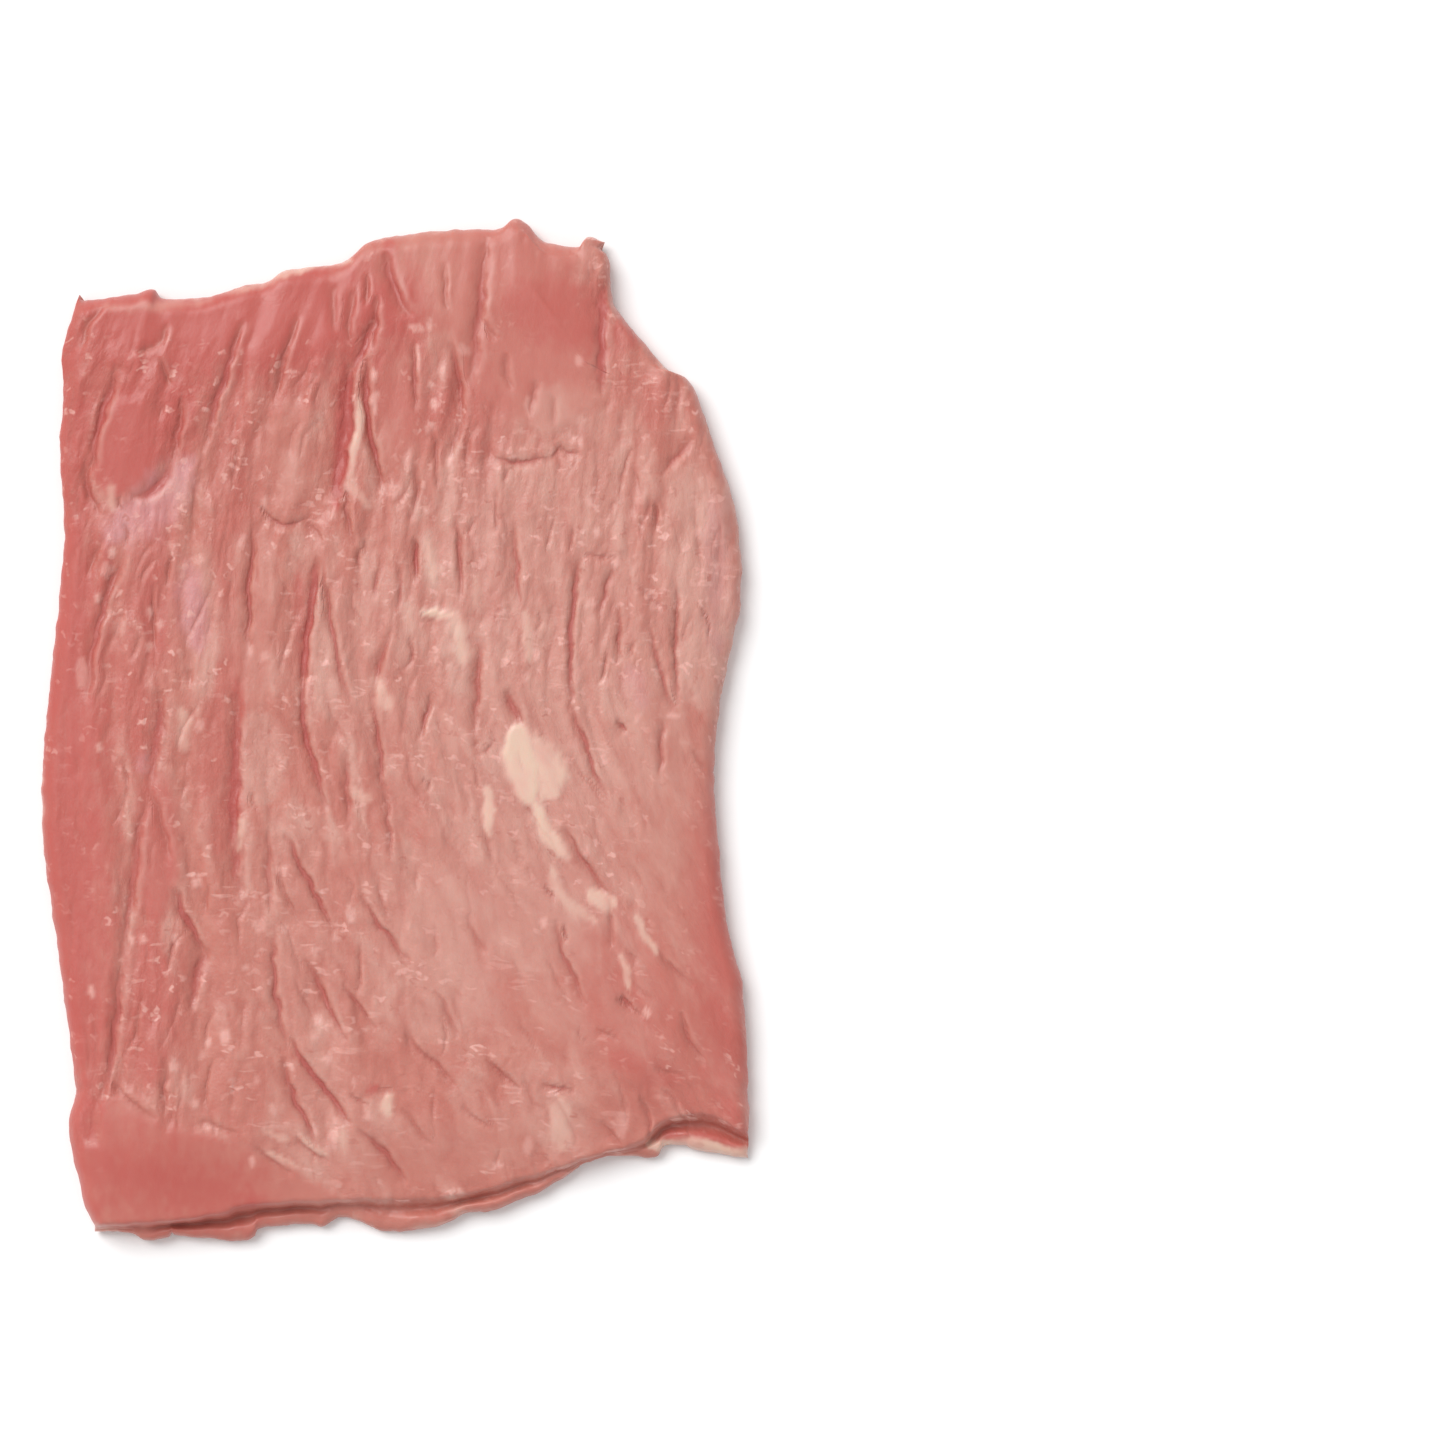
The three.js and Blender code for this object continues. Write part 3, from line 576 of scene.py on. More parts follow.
# The last three are for the shader: how near the nearest line is, on which side, how strong.
cut, line_near, line_side, line_depth = np.zeros((4, *x.shape))
seams_cut = 0
for number, arc in enumerate([*SEAMS, *small_seams]):
    lowered, across, taper = seam(arc, bent_x, bent_y)
    near = np.exp(-((across / LINE_REACH) ** 2))
    near = np.clip((near - LINE_FLOOR) / (1 - LINE_FLOOR), 0, 1)
    strength = near * taper
    # A small seam that would run into another one is left out.
    if number >= len(SEAMS) and (strength * line_depth).max() > CROWDED:
        continue
    seams_cut += 1
    cut += lowered
    nearer = strength > line_depth
    line_near = np.where(nearer, near, line_near)
    line_side = np.where(nearer, near * across, line_side)
    line_depth = np.where(nearer, strength, line_depth)
unfilled = 1 - FILLED_BY_FAT * fat
cut, line_depth = cut * unfilled, line_depth * unfilled
print(seams_cut, "seams,", len(SEAMS), "of them large, the deepest", cut.max().round(2), "mm")

# %% [markdown]
# ## Relief
# The height is the thickness of the slice plus long waves and bundles that swell along the
# grain, less the seams and finer relief: creases, plates that overlap, lumps and grit. A
# Displace modifier could lift the face by a texture, but written out like this each layer
# can be read and measured in millimetres. The fine relief only cuts in, so the slice never
# grows thicker than it should.

# %% The long waves and the bundles
SWELL, WANDER = 0.45, 1.2
# Three sizes of bundles: pitch, height and phase.
BUNDLES = [(11.3, 0.3, 1.1), (6.7, 0.22, 2.6), (4.6, 0.14, 0.4)]


def bundles(x, y, fibre, loose):
    """The long waves of the face and its bundles: height times a sine across the grain,
    which swells and sinks along it. They stand out where the meat is loose, which goes
    from 0 to 1."""
    number = fibre + WANDER * (np.sin(y / 21 + 1) + 0.5 * np.sin(y / 8 + x / 13))
    z = SWELL * (np.sin(x / 24 + 0.7) * np.cos(y / 33) + 0.8 * np.cos(x / 41 - y / 57 + 0.5))
    for pitch, height, phase in BUNDLES:
        swollen = 0.6 + 0.4 * np.sin(y / (2.3 * pitch) + number / pitch + phase)
        z += loose * height * swollen * np.sin(2 * np.pi * number / pitch + phase)
    return z


swelling = bundles(x, y, fibre, 0.15 + 0.85 * rough)
print("waves and bundles from", swelling.min().round(2), "to", swelling.max().round(2), "mm")

# %% The finer relief
bent = fibre + 1.3 * noise(x / 9, y / 14, seed=4) + 0.5 * noise(x / 3, y / 5, seed=5)
along_bent = y + 2.0 * noise(x / 8, y / 8, seed=6)
broken = ease(0.62 + 0.8 * noise(x / 6, y / 10, seed=7))
large = crease(bent / 6.2, along_bent / 26, seed=8, width=0.10) * broken
medium = crease(bent / 3.1, along_bent / 11, seed=9, width=0.13)
small = crease(bent / 1.9, along_bent / 5.2, seed=10, width=0.18)
overlap = step(bent / 3.6, along_bent / 13, seed=26, width=0.13)
shingle = step(bent / 1.9, along_bent / 5.5, seed=27, width=0.2)
lumps = noise(bent / 1.7, along_bent / 2.6, seed=11)
grit = noise(x, y / 1.3, seed=12) * ease(1.4 * noise(bent / 6, y / 9, seed=13))
# How deep each of them cuts in, in millimetres, where the meat isn't calm.
cuts_in = [
    (0.3, large), (0.08, medium), (0.08, small), (0.18, 1 - overlap), (0.1, 1 - shingle),
    (0.08, 1 - lumps), (0.14, 1 - grit),
]
fine = sum(depth * pattern for depth, pattern in cuts_in) * (0.03 + 0.97 * rough)
print("creases cut in by up to", fine.max().round(2), "mm")

# %% [markdown]
# ## The edges
# At the border the face rolls over into the side. At the front the cut has opened a
# crevice, and under it a lip of meat stands out, which rises from the crevice, crests and
# rounds down again. A Bevel modifier would round every edge alike, so the heights are
# worked out from the distances to the edges.

# %% Thin the slice towards its edges and round its shoulder
THICKNESS, EDGE_THINNING, THINNING_REACH = 8.6, 1.5, 16
EDGE_ROLL, SHOULDER_ROLL, SHOULDER_DROP = 3.4, 1.0, 0.14


def roll(distance, reach):
    """A quarter of a round edge: the square root of 1 - (1 - distance / reach)^2."""
    return np.sqrt(1 - (1 - np.clip(distance / reach, 0, 1)) ** 2)


sides = roll(left_gap, EDGE_ROLL) * roll(right_gap, EDGE_ROLL) * roll(far_gap, EDGE_ROLL)
inland = np.ones_like(x)
for distance in (left_gap, right_gap, far_gap, near_gap):
    inland = inland * ease(distance / THINNING_REACH)

body = THICKNESS + swelling - cut - fine
body = body - EDGE_THINNING * (1 - inland)
top = body * (1 - SHOULDER_DROP * (1 - roll(near_gap, SHOULDER_ROLL)))
print("the slice is up to", top.max().round(1), "mm thick")

# %% Open the crevice and shape the lip under it
RIM_HEIGHT, LIP_RIM_HEIGHT = 3.1, 1.5
LIP_CREST_HEIGHT, CREVICE_HEIGHT = 3.6, 2.1
# Places on the lip, from 0 at the shoulder to 1 at its own rim.
CREVICE_AT, CREST_AT = 0.3, 0.6
# How far the crevice gapes along x, from 0 to 1.
CREVICE_GAPE = [
    (-60, 0), (-51, 0.25), (-44, 0.6), (-37, 0.95), (-16, 0.9), (-9, 0.6), (2, 0.65),
    (12, 0.75), (22, 0.5), (34, 0.3), (45, 0.35), (50, 0.9), (64, 1),
]

gape = np.interp(x, *np.transpose(CREVICE_GAPE)) + 0.12 * noise(x / 3, y / 9, seed=14)
crevice = CREVICE_HEIGHT + (1 - np.clip(gape, 0, 1)) * (0.85 * top - CREVICE_HEIGHT)
crest = LIP_CREST_HEIGHT + 0.5 * np.sin(x / 9) + 0.4 * noise(x / 7.3, y / 5, seed=15)
crest = crest + 0.3 * noise(x / 2.9, y / 1.6, seed=29) * ease(0.5 + noise(x / 11, y / 9, seed=30))
sinking = top + (crevice - top) * ease(on_lip / CREVICE_AT)
rising = crevice + (crest - crevice) * ease((on_lip - CREVICE_AT) / (CREST_AT - CREVICE_AT))
rounding = LIP_RIM_HEIGHT + (crest - LIP_RIM_HEIGHT) * roll(1 - on_lip, 1 - CREST_AT)
height = np.where(on_lip < CREVICE_AT, sinking, np.where(on_lip < CREST_AT, rising, rounding))
rim = RIM_HEIGHT + (LIP_RIM_HEIGHT - RIM_HEIGHT) * on_lip
z = rim + (height - rim) * sides
print("the lip rises to", z[on_lip >= CREST_AT].max().round(1), "mm")

# %% Tear the edges a little
RAGGEDNESS, RAGGED_REACH = 0.28, 4


def tear(place, distance, seed):
    """The knife's small waves along an edge, dying out inwards: two noises of the place."""
    wave = noise(place / 4.1, 0 * place, seed) + 0.5 * noise(place / 1.7, 0 * place, seed + 1)
    return RAGGEDNESS * wave * np.exp(-distance / RAGGED_REACH)


torn_x = x + tear(y, left_gap, 31) + tear(y, right_gap, 33)
torn_y = y + tear(x, far_gap, 35) + tear(x, np.where(on_lip > 0, 0, near_gap), 37)
skin = np.stack([torn_x, torn_y, z], axis=-1)
print("edges torn by up to", np.abs(torn_x - x).max().round(2), "mm")

# %% [markdown]
# ## Side and underside
# Below the widest line the side draws in to the face that the slice lies on, and the ends
# of the bundles bulge out of it. The wall is a ring of rows round the rim. The underside
# is a grid again with a quarter of the cells each way, because it is pressed nearly flat,
# and a ring of triangles joins the two.

# %% The wall
UNDERCUT = 1.3
WALL_ROWS = 7
BULGE = 0.42


def ring(grid):
    """The border of a grid, once round: along its first row, up, back and down."""
    return np.concatenate([grid[0, :-1], grid[:-1, -1], grid[-1, :0:-1], grid[:0:-1, 0]])


rim_line = ring(skin)
pieces_of_rim = np.linalg.norm(np.diff(rim_line, axis=0), axis=1)
round_the_rim = np.append(0, np.cumsum(pieces_of_rim))
upward = (np.arange(WALL_ROWS) / WALL_ROWS)[:, None]
slant = round_the_rim + 1.5 * upward
bulging = noise(slant / 2.6, 1.8 * upward + 0 * slant, seed=16)
bulging = bulging - crease(slant / 3.4, 0.8 * upward + 0 * slant, seed=20, width=0.16)
bulging = bulging + 0.5 * noise(slant / 1.3, 3.6 * upward + 0 * slant, seed=39)
drawn_in = UNDERCUT * (1 - upward) ** 2 - BULGE * np.sin(np.pi * upward) * bulging
shrunk = 1 - drawn_in / np.hypot(rim_line[:, 0], rim_line[:, 1])
wall = np.dstack([rim_line[:, 0] * shrunk, rim_line[:, 1] * shrunk, rim_line[:, 2] * upward])
print("the wall is drawn in by", drawn_in.min().round(2), "to", drawn_in.max().round(2), "mm")

# %% The underside
UNDERSIDE_STEP = 4
UNDERSIDE_SCALE = 0.975
UNDERSIDE_DENTS = 0.45

every = slice(None, None, UNDERSIDE_STEP)
under_xy = skin[every, every, :2] * UNDERSIDE_SCALE
under_fibre = across_grain(under_xy[..., 0], under_xy[..., 1])
dents = crease(under_fibre / 5, under_xy[..., 1] / 22, seed=17, width=0.12)
dents = dents + 0.6 * crease(under_fibre / 2.6, under_xy[..., 1] / 9, seed=18, width=0.15)
dents = dents * ease(0.6 + noise(under_fibre / 9, under_xy[..., 1] / 20, seed=19))
under_edge = np.minimum.reduce([left_gap, right_gap, far_gap, near_gap])[every, every]
under_z = UNDERSIDE_DENTS * dents * ease(under_edge / 4)
underside = np.dstack([under_xy, under_z])
print("underside", underside.shape, "with dents of up to", under_z.max().round(2), "mm")

# %% Join everything into one closed mesh


def grid_faces(index):
    """Four-cornered faces between the neighbours of a grid of vertex numbers."""
    corners = index[:-1, :-1], index[:-1, 1:], index[1:, 1:], index[1:, :-1]
    return np.stack(corners, axis=-1).reshape(-1, 4)


skin_index = np.arange(skin.shape[0] * skin.shape[1]).reshape(skin.shape[:2])
wall_index = skin_index.size + np.arange(wall.shape[0] * wall.shape[1]).reshape(wall.shape[:2])
under_start = skin_index.size + wall_index.size
under_index = under_start + np.arange(underside.shape[0] * underside.shape[1])
under_index = under_index.reshape(underside.shape[:2])

wall_rows = np.vstack([wall_index, ring(skin_index)])
wall_rows = np.hstack([wall_rows, wall_rows[:, :1]])
quads = np.vstack([grid_faces(skin_index), grid_faces(wall_rows), grid_faces(under_index)[:, ::-1]])

# Each edge of the underside's border meets four edges of the wall's foot. The first two
# lean on its start, the last two on its end, and one triangle fills what is between.
foot, start = wall_index[0], ring(under_index)
end = np.roll(start, -1)
half_way = UNDERSIDE_STEP // 2
triangles = [np.stack([np.roll(foot, -half_way)[every], start, end], axis=1)]
for k in range(UNDERSIDE_STEP):
    this, following = np.roll(foot, -k)[every], np.roll(foot, -k - 1)[every]
    triangles.append(np.stack([following, this, start if k < half_way else end], axis=1))
triangles = np.vstack(triangles)
points = np.vstack([skin.reshape(-1, 3), wall.reshape(-1, 3), underside.reshape(-1, 3)])
middle_of_box = (points.min(0) + points.max(0)) / 2
points = points - [middle_of_box[0], middle_of_box[1], points[:, 2].min()]

steak_mesh = bpy.data.meshes.new("steak_meat")
steak_mesh.from_pydata(points * MM, [], [*quads.tolist(), *triangles.tolist()])
steak_mesh.validate()
steak_mesh.shade_smooth()
steak = bpy.data.objects.new("steak_meat", steak_mesh)
bpy.context.collection.objects.link(steak)
print(len(points), "points,", 2 * len(quads) + len(triangles), "triangles")

# %% [markdown]
# ## Colours over the surface
# The meat is salmon pink. It is redder at the edges and in the seams, milky where a film
# covers it, and cream where there is fat. Painted shade darkens the creases and the crevice,
# and the crests get a paler tint that is partly film and partly painted highlight. An image
# could hold all this, but would have to be painted and unwrapped. Here each is a mask from
# 0 to 1, which is stored on the mesh and mixed by the shader. The patches are listed as the
# calm ones were.

# %% Films, silver skin and redder meat: ends, bow, half width, softness, strength
FILM = [
    (10.4, 24, 12.4, 6, 0, 2.8, 1.4, 1), (6.2, 38, 7.6, 25, 0, 2.2, 1.2, 0.8),
    (-49, 46, -37, 14, 0, 7, 4, 0.12), (-35.8, 35, -35.8, 6, 0, 3, 1.5, 0.55),
    (55.4, 50, 57.6, 4, 0.5, 7, 4, 0.85), (22, 52, 26, -46, 3, 25, 15, 0.6),
    (-25.5, 3.6, -24.8, -14, 0, 4.8, 1.6, 0.6), (-14, 28, -12.4, 2, 0, 3, 1.2, 0.6),
    (4, -20, 10, -58, 0, 13, 8, 0.55), (-16, -60, -8, -82, 0, 7, 4, 0.4),
    (-20, -14, -16, -60, 0, 8, 6, 0.3), (-10, 26, -4, -2, 0, 10, 7, 0.4), (36, 60, 42, 22, 0, 8, 6, 0.5),
    (-1, 30, 3, 14, 0, 5, 4, 0.5), (28, 64, 34, 52, 0, 5, 4, 0.5), (24, -62, 34, -80, 0, 6, 6, 0.55),
]
SILVER_SKIN = [
    (-38.5, 31, -36.5, 15, 0, 2.4, 1.6, 0.9), (-37.8, 50, -54, 36, 1.2, 4, 2.6, 0.9),
    (-46, -4, -47, -8, 0, 1.6, 1.2, 0.5), (43.4, 12, 46.4, 4.6, 0, 2.2, 1.5, 0.5),
    (59.6, 44, 60.4, 14, 0.4, 2.2, 1.8, 0.4),
]
BLUSH = [
    (-62, 96, -60, -106, -3, 11.5, 7, 1), (-45, 71, -53, 44, 0, 8.5, 3, 1), (-76, 74, 6, 78, 1, 15, 9, 1),
    (-33, 8, -33, -23, 0, 3.6, 2, 0.5), (-44.6, -7, -44.6, -36, 0, 4.4, 1.8, 0.7),
    (-1.6, 92, 2.8, 76, -0.4, 2.2, 1.6, 0.85), (22, 98, 29, 62, 0, 14, 8, 0.35),
    (-6, 63, 22, 61, 0, 8, 6, 0.5), (-9.4, 70, -10.9, 41, 0.5, 1.6, 0.8, 1),
    (-31, 84, -29, 34, 0, 4.5, 4, 0.5), (16, 76, 18, 14, 0, 4, 4, 0.5), (36, -36, 38, -48, 0, 3.5, 2, 0.35),
    (30, -24, 56, -72, 0, 10, 9, 0.4), (40, -60, 54, -66, 0, 3, 2, 0.6),
    (-74, -76, -24, -88, 0, 9, 10, 0.9), (-46, -36, -46, -66, 0, 6, 5, 0.75),
    (-46, 50, -45, 12, 0, 5, 4, 0.9), (44, 68, 52, 57, 0, 4, 4, 0.35), (-44, 76, -42, 50, 0, 7, 3, 0.95),
    (-15, 85.4, -7, 80.6, 0, 2.2, 1.4, 0.8), (-18, 30, -16, 4, 0, 1.3, 0.9, 0.7),
    (-29.4, 10, -29, -16, 0.4, 1.6, 1, 0.8), (62, -4, 66, -84, -2, 7, 5, 0.7),
    (-5.4, -67.6, -2.9, -66.2, 0, 0.9, 0.5, 0.9), (50, -75, 66, -77, 0.6, 2.2, 1, 0.9),
    (20, 81, 46, 74, 0, 8, 6, 0.75), (-33, 48, -32, 6, 0, 3.4, 2.5, 0.45),
    (-50, 20, -47, -8, 0, 4.5, 3, 0.6), (16, -24, 18, -58, 0, 4, 4, 0.25),
]

print(len(FILM), "films,", len(SILVER_SKIN), "bits of silver skin,", len(BLUSH), "redder places")

# %% The masks of the upper face
film = patches(FILM, x, y, ragged=0.5)
silver_skin = patches(SILVER_SKIN, x, y, ragged=0.5)
blush = patches(BLUSH, x, y, ragged=0.4)
# Painted shade: the creases of the relief and the crevice under the shoulder are darkened where less light
# reaches them.
crease_shade = np.clip(0.5 * large * rough + 0.3 * medium * rough - 0.5 * fat, 0, 1)
in_crevice = np.exp(-(((on_lip - CREVICE_AT) / 0.2) ** 2)) * (on_lip > 0) * np.clip(gape, 0, 1)
crease_shade = np.maximum(crease_shade, 1.1 * in_crevice)
# The crests of the fine relief turn paler: partly a milky film, partly a painted highlight where the light
# catches them.
uncut = 1 - fine / fine.max()
ridge = np.clip(1.5 * (uncut - 0.5) + 0.9 * noise(bent / 4, along_bent / 12, seed=25), 0, 1)
ridge = ridge * (1 - 0.9 * blush) * (1 - crease_shade) * (0.05 + 0.95 * rough)
grain_size = np.clip(rough + 0.3 * noise(x / 8, y / 10, seed=23), 0, 1)
print("films cover", round(100 * float((film > 0.4).mean())), "% of the face")

# %% Store the masks on the mesh


def store(name, on_face, at_foot, on_underside, haste):
    """Puts one number for each point on the mesh. Down the wall the rim's number gives way
    to the foot's: foot + (rim - foot) height^haste, with the height from 0 to 1."""
    on_wall = at_foot + (ring(on_face) - at_foot) * upward**haste
    values = np.concatenate([np.ravel(part) for part in (on_face, on_wall, on_underside)])
    layer = steak_mesh.attributes.new(name, "FLOAT", "POINT")
    layer.data.foreach_set("value", values.astype(np.float32))


under_noise = noise(under_xy[..., 0] / 9, under_xy[..., 1] / 18, seed=24)
foot_noise = noise(round_the_rim / 6, 0 * round_the_rim, seed=28)
nowhere = np.zeros(under_index.size)
# Each mask's numbers on the face, at the wall's foot and on the underside, and its haste.
masks = {
    "fat": (fat, 0.3 * ease(foot_noise), 0.6 * ease((under_noise - 0.35) / 0.3), 3),
    "highlight_knot": (highlight_knot, 0, nowhere, 3),
    "film": (film, 0.25, 0.6 * ease(0.5 + under_noise), 2),
    "silver_skin": (silver_skin, 0.1, 0.5 * ease(under_noise), 1),
    "blush": (blush, 0.45 - 0.3 * foot_noise, 0.4 - 0.3 * under_noise, 1),
    "crease_shade": (crease_shade, 0.2 + 0.3 * foot_noise, 0.6 * dents, 1),
    "ridge": (ridge, 0.4, 0.4 * (1 - dents), 1),
    "grain_size": (grain_size, 0.8, 0.5 + 0 * dents, 1),
    "line_near": (line_near, ring(line_near), nowhere, 1),
    "line_side": (line_side, ring(line_side), nowhere, 1),
    "line_depth": (line_depth, 0.6 * ring(line_depth), nowhere, 1),
}
for name, numbers in masks.items():
    store(name, *numbers)
print("stored", *masks)

# %% [markdown]
# ## Unfolding
# Fine patterns laid on from above would smear where the face rolls over its edge and down
# the side. Blender could unwrap the mesh, but it would cut it into islands without regard
# to the fibres. Here a point's two coordinates are its places across and along its fibre,
# with the extra length of the rolled border and of the wall added.

# %% Unfold the surface along its own fibres
FOLDED_BORDER = 6


def added_length(axis, border):
    """How much longer the skin is than its plan, added up along one way of the grid from
    its middle. Only the border counts, where it rolls over."""
    lengths = [np.linalg.norm(np.diff(p, axis=axis), axis=-1) for p in (skin, skin[..., :2])]
    inner_border = np.take(border, range(1, border.shape[axis]), axis=axis)
    added = (lengths[0] - lengths[1]) * (1 - ease(inner_border / FOLDED_BORDER))
    start = np.zeros_like(np.take(border, [0], axis=axis))
    added = np.concatenate([start, np.cumsum(added, axis=axis)], axis=axis)
    return added - np.take(added, [border.shape[axis] // 2], axis=axis)


def unfolded(across, along):
    """Two coordinates for each point, in centimetres: across the fibres and along them."""
    return np.stack([across.ravel(), along.ravel()], axis=1) / 10


skin_across = fibre + added_length(1, np.minimum(left_gap, right_gap))
skin_along = y + added_length(0, np.minimum(near_gap, far_gap))
# Below the rim the pattern goes on square to the way of the rim.
way = np.roll(rim_line, -1, axis=0) - np.roll(rim_line, 1, axis=0)
way = way / np.hypot(way[:, 0], way[:, 1])[:, None]
down = rim_line[:, 2] * (1 - upward)
wall_across = ring(skin_across) + way[:, 1] * down
wall_along = ring(skin_along) - way[:, 0] * down
everywhere = unfolded(across_grain(points[:, 0], points[:, 1]), points[:, 1])
over_skin = unfolded(skin_across, skin_along), unfolded(wall_across, wall_along)
over_skin = np.vstack([*over_skin, everywhere[under_start:]])
grain_map = steak_mesh.uv_layers.new(name="grain")
uv = np.concatenate([over_skin[quads].reshape(-1, 2), everywhere[triangles].reshape(-1, 2)])
grain_map.data.foreach_set("uv", uv.astype(np.float32).ravel())
print("unfolded", len(uv), "corners")

# %% [markdown]
# ## Shader maths as plain expressions
# A material's arithmetic is easier to read as Python than as a picture of boxes. A small
# class wraps one output of a node. An operator between two of them, or with a number,
# adds the Math node that does it.

# %% A class for shader arithmetic


class Value:
    """One number in a material, worked out for each point of the surface."""

    def __init__(self, tree, socket):
        self.tree = tree
        self.socket = socket

    def node(self, kind, inputs, output=0, **settings):
        """Adds any node: its settings first, then a value or a link for each named socket."""
        made = self.tree.nodes.new(kind)
        for name, setting in settings.items():
            setattr(made, name, setting)
        for name, given in inputs.items():
            if isinstance(given, Value):
                self.tree.links.new(given.socket, made.inputs[name])
            else:
                made.inputs[name].default_value = given
        return Value(self.tree, made.outputs[output])

    def maths(self, operation, *values, clamp=False):
        """Adds a Math node on these values."""
        inputs = dict(enumerate(values))
        return self.node("ShaderNodeMath", inputs, operation=operation, use_clamp=clamp)

    def __add__(self, other):
        return self.maths("ADD", self, other)

    def __sub__(self, other):
        return self.maths("SUBTRACT", self, other)

    def __rsub__(self, other):
        return self.maths("SUBTRACT", other, self)

    def __mul__(self, other):
        return self.maths("MULTIPLY", self, other)

    def __truediv__(self, other):
        return self.maths("DIVIDE", self, other)

    __radd__ = __add__
    __rmul__ = __mul__

    def clamped(self):
        """This value, but never below 0 or above 1."""
        return self.maths("ADD", self, 0.0, clamp=True)

    def bell(self, middle, width):
        """1 where this is the middle, falling off as e^(-((this - middle) / width)^2)."""
        offset = (self - middle) * (1 / width)
        return self.maths("EXPONENT", offset * offset * -1.0)

    def paint(self, under, over):
        """The colour `over` on the colour `under`, by this mask. A Mix node has its factor in
        input 0 and its two colours in inputs 6 and 7."""
        inputs = {0: self, 6: under, 7: over}
        return self.node("ShaderNodeMix", inputs, output=2, data_type="RGBA")

    def noise(self, vector, detail=2.0, roughness=0.5):
        """Soft noise from 0 to 1, with lumps of about one unit of the vector."""
        inputs = {"Vector": vector, "Scale": 1.0, "Detail": detail, "Roughness": roughness}
        return self.node("ShaderNodeTexNoise", inputs)

    def mask(self, name):
        """A number stored on the mesh."""
        return self.node("ShaderNodeAttribute", {}, output=2, attribute_name=name)


# %% [markdown]
# ## Raw beef
# Raw meat lets light in a little way and has a moist, uneven gloss. The colour starts with
# the lean, and the masks lay the redder meat, the films, the knots, the fat and the seams
# over it in that order. Painted highlights go on the knots, the glints, the right banks of
# the seams and, with some film, on the crests. Painted shade goes in the pits, the creases,
# the crevice and the seam lines, which are a deeper red as well. Fine noise stretched along
# the grain breaks up every tone, and the same noise gives the bump of the single fibres.
# Glints and pits could come from noise too, but its peaks join into worms. They are soft
# dots instead, one in some cells of a pattern of random cells.

# %% The colours of raw beef
LEAN = (0.553, 0.209, 0.163, 1)
LEAN_DARK = (0.505, 0.162, 0.127, 1)
RED = (0.487, 0.101, 0.083, 1)
MILKY_AND_HIGHLIGHT = (0.620, 0.330, 0.272, 1)
LILAC = (0.610, 0.268, 0.266, 1)
CREAM = (0.720, 0.495, 0.385, 1)
FAT_EDGE = (0.740, 0.440, 0.365, 1)
DEEP_RED_SHADE = (0.430, 0.082, 0.070, 1)
SHADED_RED = (0.450, 0.140, 0.108, 1)
GLINT = (0.790, 0.430, 0.375, 1)

raw_beef = bpy.data.materials.new("raw_beef")
raw_beef.use_nodes = True
tree = raw_beef.node_tree
shader = tree.nodes["Principled BSDF"]
make = Value(tree, shader.outputs[0])

# %% Patterns that follow the fibres


def stretch(across, along, shift=0.0):
    """The unfolded coordinates with patterns this many millimetres across and along."""
    vector = make.node("ShaderNodeUVMap", {}, uv_map="grain")
    inputs = {"Vector": vector, "Scale": (10 / across, 10 / along, 1)}
    return make.node("ShaderNodeMapping", {**inputs, "Location": (shift, -shift, 0)})


def above(pattern, threshold, steepness):
    """From 0 to 1 where a pattern rises over a threshold."""
    return ((pattern - threshold) * steepness).clamped()


def dots(across, along, radius, luck, shift):
    """Soft dots of a radius about the middles of random cells. Each cell draws a lot from 0
    to 1, and only those above the given luck have a dot. Noise bends them out of round."""
    cells = stretch(across, along, shift)
    wobble = {"Vector": cells, "Scale": 1.7, "Detail": 0.0}
    wobble = make.node("ShaderNodeTexNoise", wobble, output=1)
    moved = {0: wobble, 1: (1.2, 1.2, 0.0), 2: cells}
    moved = make.node("ShaderNodeVectorMath", moved, operation="MULTIPLY_ADD")
    distance = make.node("ShaderNodeTexVoronoi", {"Vector": moved, "Scale": 1.0})
    lot = Value(tree, distance.socket.node.outputs["Color"])
    return above(radius - distance, 0.0, 4.5) * above(lot, luck, 6.0)


grained = make.mask("grain_size")
mottle = make.noise(stretch(5.0, 9.0))
wrinkles = make.noise(stretch(1.1, 2.4), detail=3.0, roughness=0.6)
clusters = above(make.noise(stretch(5.0, 7.0), detail=1.0), 0.42, 6.0) * grained
# Glints are painted highlights and pits are painted shade, as on the lit and shaded sides of tiny wet
# bumps.
glint = dots(2.0, 1.8, 0.42, 0.46, 0.0) * clusters
pit_shade = dots(1.6, 1.6, 0.38, 0.52, 3.7) * clusters
barred = above(make.noise(stretch(9.0, 12.0), detail=0.0), 0.50, 6.0) * grained
pale_bar = dots(3.4, 1.3, 0.42, 0.46, 7.1) * barred
fuzz = make.noise(stretch(0.35, 0.5), detail=1.0)
print("patterns of", len(tree.nodes), "nodes so far")

# %% [markdown]
# ## The line of a seam
# Each seam is a thin dark red line with a paler bank to its right. The line is partly the
# seam's redder tissue and partly painted shade on its gentle left bank, and the bank is a
# painted highlight where the steep right bank faces the light from the left. Painted from a
# mask, the line would be as coarse as the mesh. So the mesh stores two smooth numbers: how
# near the seam is, and that times the distance to its right. Both are even between the
# points, and the shader divides them, which gives the distance back and a line that stays
# sharp.

# %% The line of each seam
nearness = make.mask("line_near")
beside = make.mask("line_side") / (nearness + 0.02) + make.noise(stretch(1.2, 2.6), detail=1.0) - 0.5
line_strength = make.mask("line_depth")
# The line: the seam's redder tissue with painted shade on its gentle left bank. The bank: a painted
# highlight on its steep right bank.
line = ((beside.bell(-0.05, 0.45) + 0.7 * beside.bell(-0.5, 0.9)) * line_strength).clamped()
bank = (beside.bell(1.3, 0.6) * line_strength * 2.0).clamped()

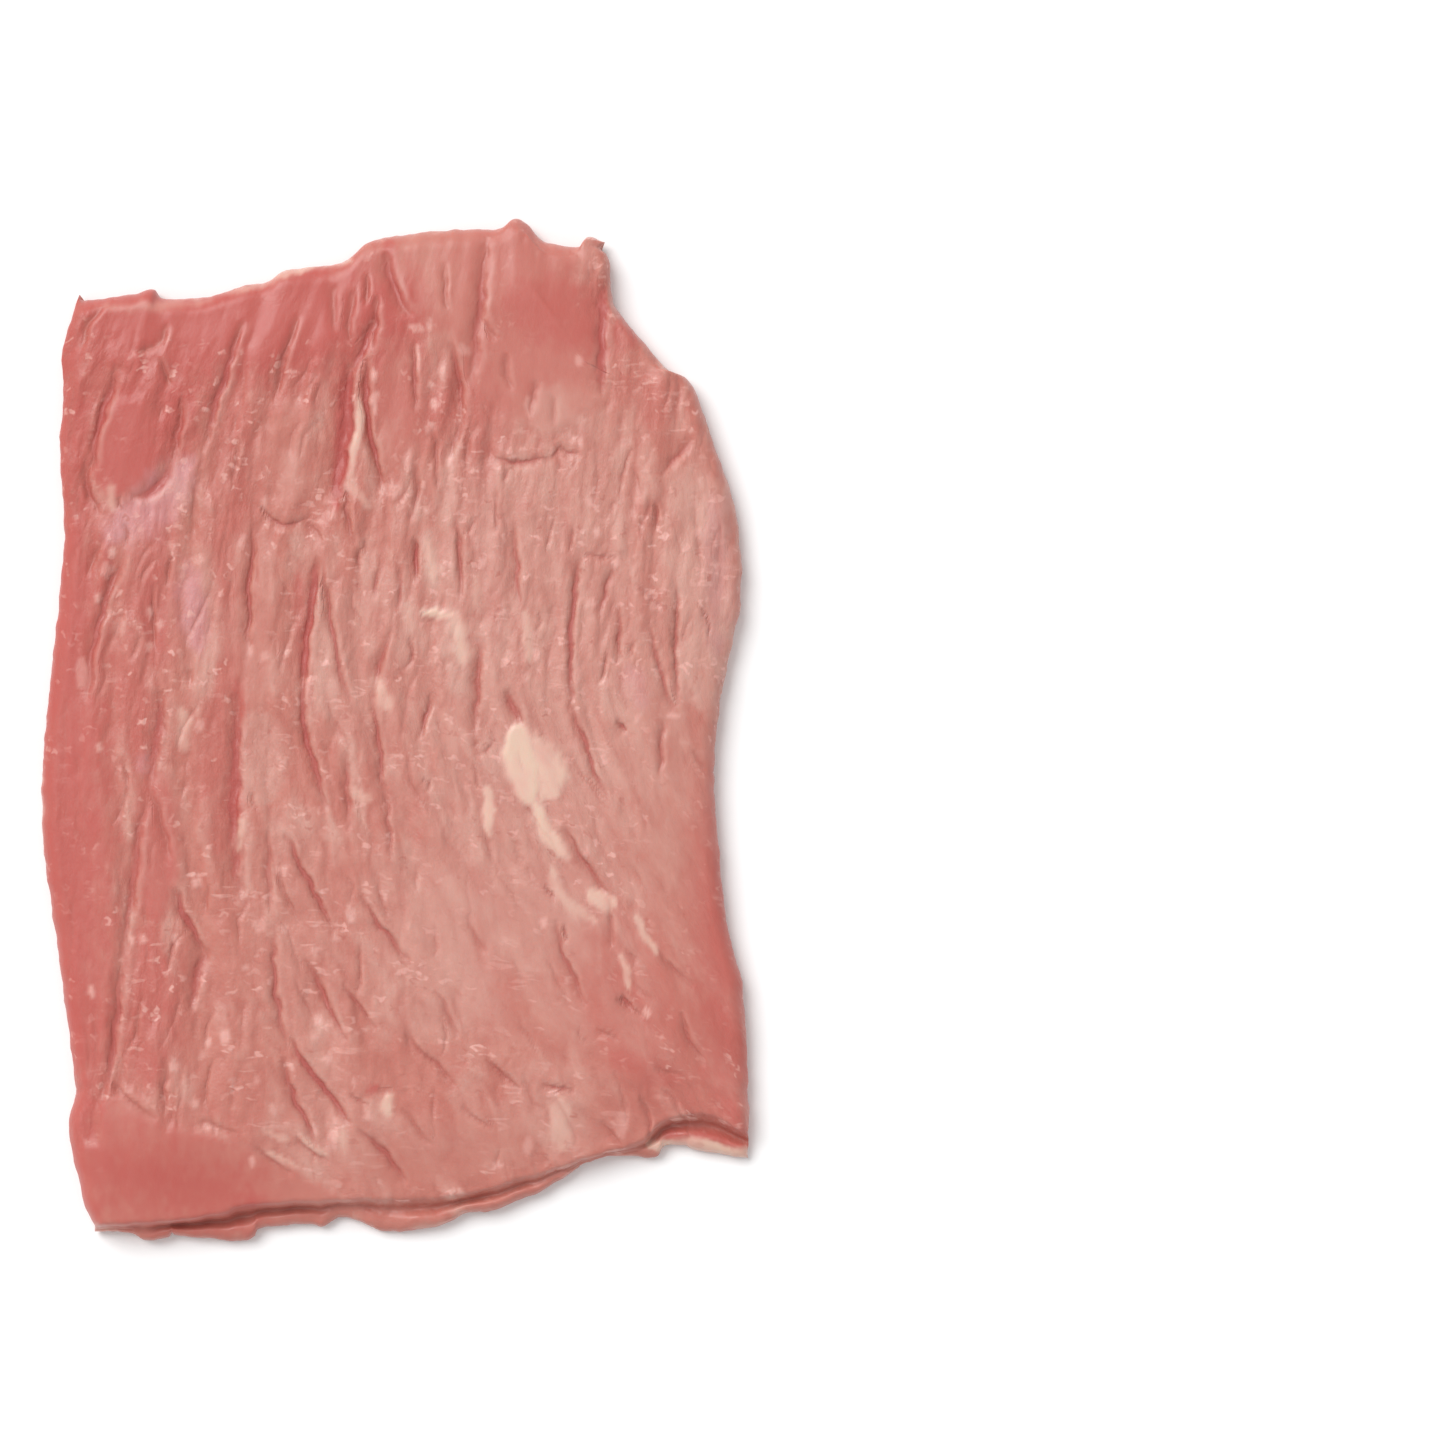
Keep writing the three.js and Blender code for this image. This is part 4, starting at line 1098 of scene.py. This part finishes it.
# %% Colour
tone = ((wrinkles - 0.5) * (0.4 + 1.0 * grained) + 1.6 * mottle - 0.3).clamped()
colour = tone.paint(LEAN_DARK, LEAN)
colour = (make.mask("blush") * (0.65 + 0.7 * mottle)).clamped().paint(colour, RED)
colour = (make.mask("film") * (0.4 + 1.1 * mottle)).clamped().paint(colour, MILKY_AND_HIGHLIGHT)
colour = (make.mask("silver_skin") * (0.5 + mottle)).clamped().paint(colour, LILAC)
# Painted highlight on the crests, partly milky film, and on the steep right bank of each seam.
colour = (make.mask("ridge") * (0.3 + 1.2 * wrinkles)).clamped().paint(colour, MILKY_AND_HIGHLIGHT)
colour = (bank * 0.4).paint(colour, MILKY_AND_HIGHLIGHT)
# Painted highlights: the knots and the glints, in the pale pink of GLINT, which the pale bars also use.
bright = (make.mask("highlight_knot") * (0.55 + 0.9 * wrinkles)).clamped()
colour = (bright * 0.85).paint(colour, GLINT)
colour = (glint * 0.8).paint(colour, GLINT)
colour = (pale_bar * 0.5).paint(colour, GLINT)
fatty = (make.mask("fat") * (0.7 + 0.6 * mottle)).clamped()
colour = fatty.paint(colour, FAT_EDGE)
colour = (fatty * fatty * (2.6 * mottle - 0.45)).clamped().paint(colour, CREAM)
# Painted shade in the pits, the creases and the crevice.
colour = (pit_shade * 0.6).paint(colour, SHADED_RED)
colour = (make.mask("crease_shade") * 0.8).clamped().paint(colour, SHADED_RED)
# The seam lines are a deeper red and painted shade at once.
seam_red_and_shade = above(line_strength, 0.4, 1.8).paint(SHADED_RED, DEEP_RED_SHADE)
colour = (line * 0.85).paint(colour, seam_red_and_shade)
tree.links.new(colour.socket, shader.inputs["Base Color"])

# %% Gloss, bump and depth
gloss = 0.46 - 0.15 * glint - 0.15 * bright + 0.5 * (mottle - 0.5)
tree.links.new(gloss.clamped().socket, shader.inputs["Roughness"])

waves = wrinkles * 0.52 + make.mask("highlight_knot") * 0.1 + fuzz * 0.08
waves = waves * (0.2 + 0.8 * grained) * (1 - 0.5 * make.mask("fat"))
waves = waves - 0.4 * line
bumps = make.node("ShaderNodeBump", {"Height": waves, "Strength": 1.0, "Distance": 0.5 * MM})
tree.links.new(bumps.socket, shader.inputs["Normal"])

shader.inputs["Subsurface Weight"].default_value = 0.25
shader.inputs["Subsurface Radius"].default_value = (1.0, 0.35, 0.25)
shader.inputs["Subsurface Scale"].default_value = MM
shader.inputs["IOR"].default_value = 1.4
shader.inputs["Coat Weight"].default_value = 0.2
shader.inputs["Coat Roughness"].default_value = 0.25
steak_mesh.materials.append(raw_beef)
print("raw beef takes", len(tree.nodes), "nodes")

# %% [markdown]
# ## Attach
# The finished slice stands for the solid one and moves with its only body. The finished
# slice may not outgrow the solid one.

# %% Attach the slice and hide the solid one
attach(steak, "root")
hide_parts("steak")
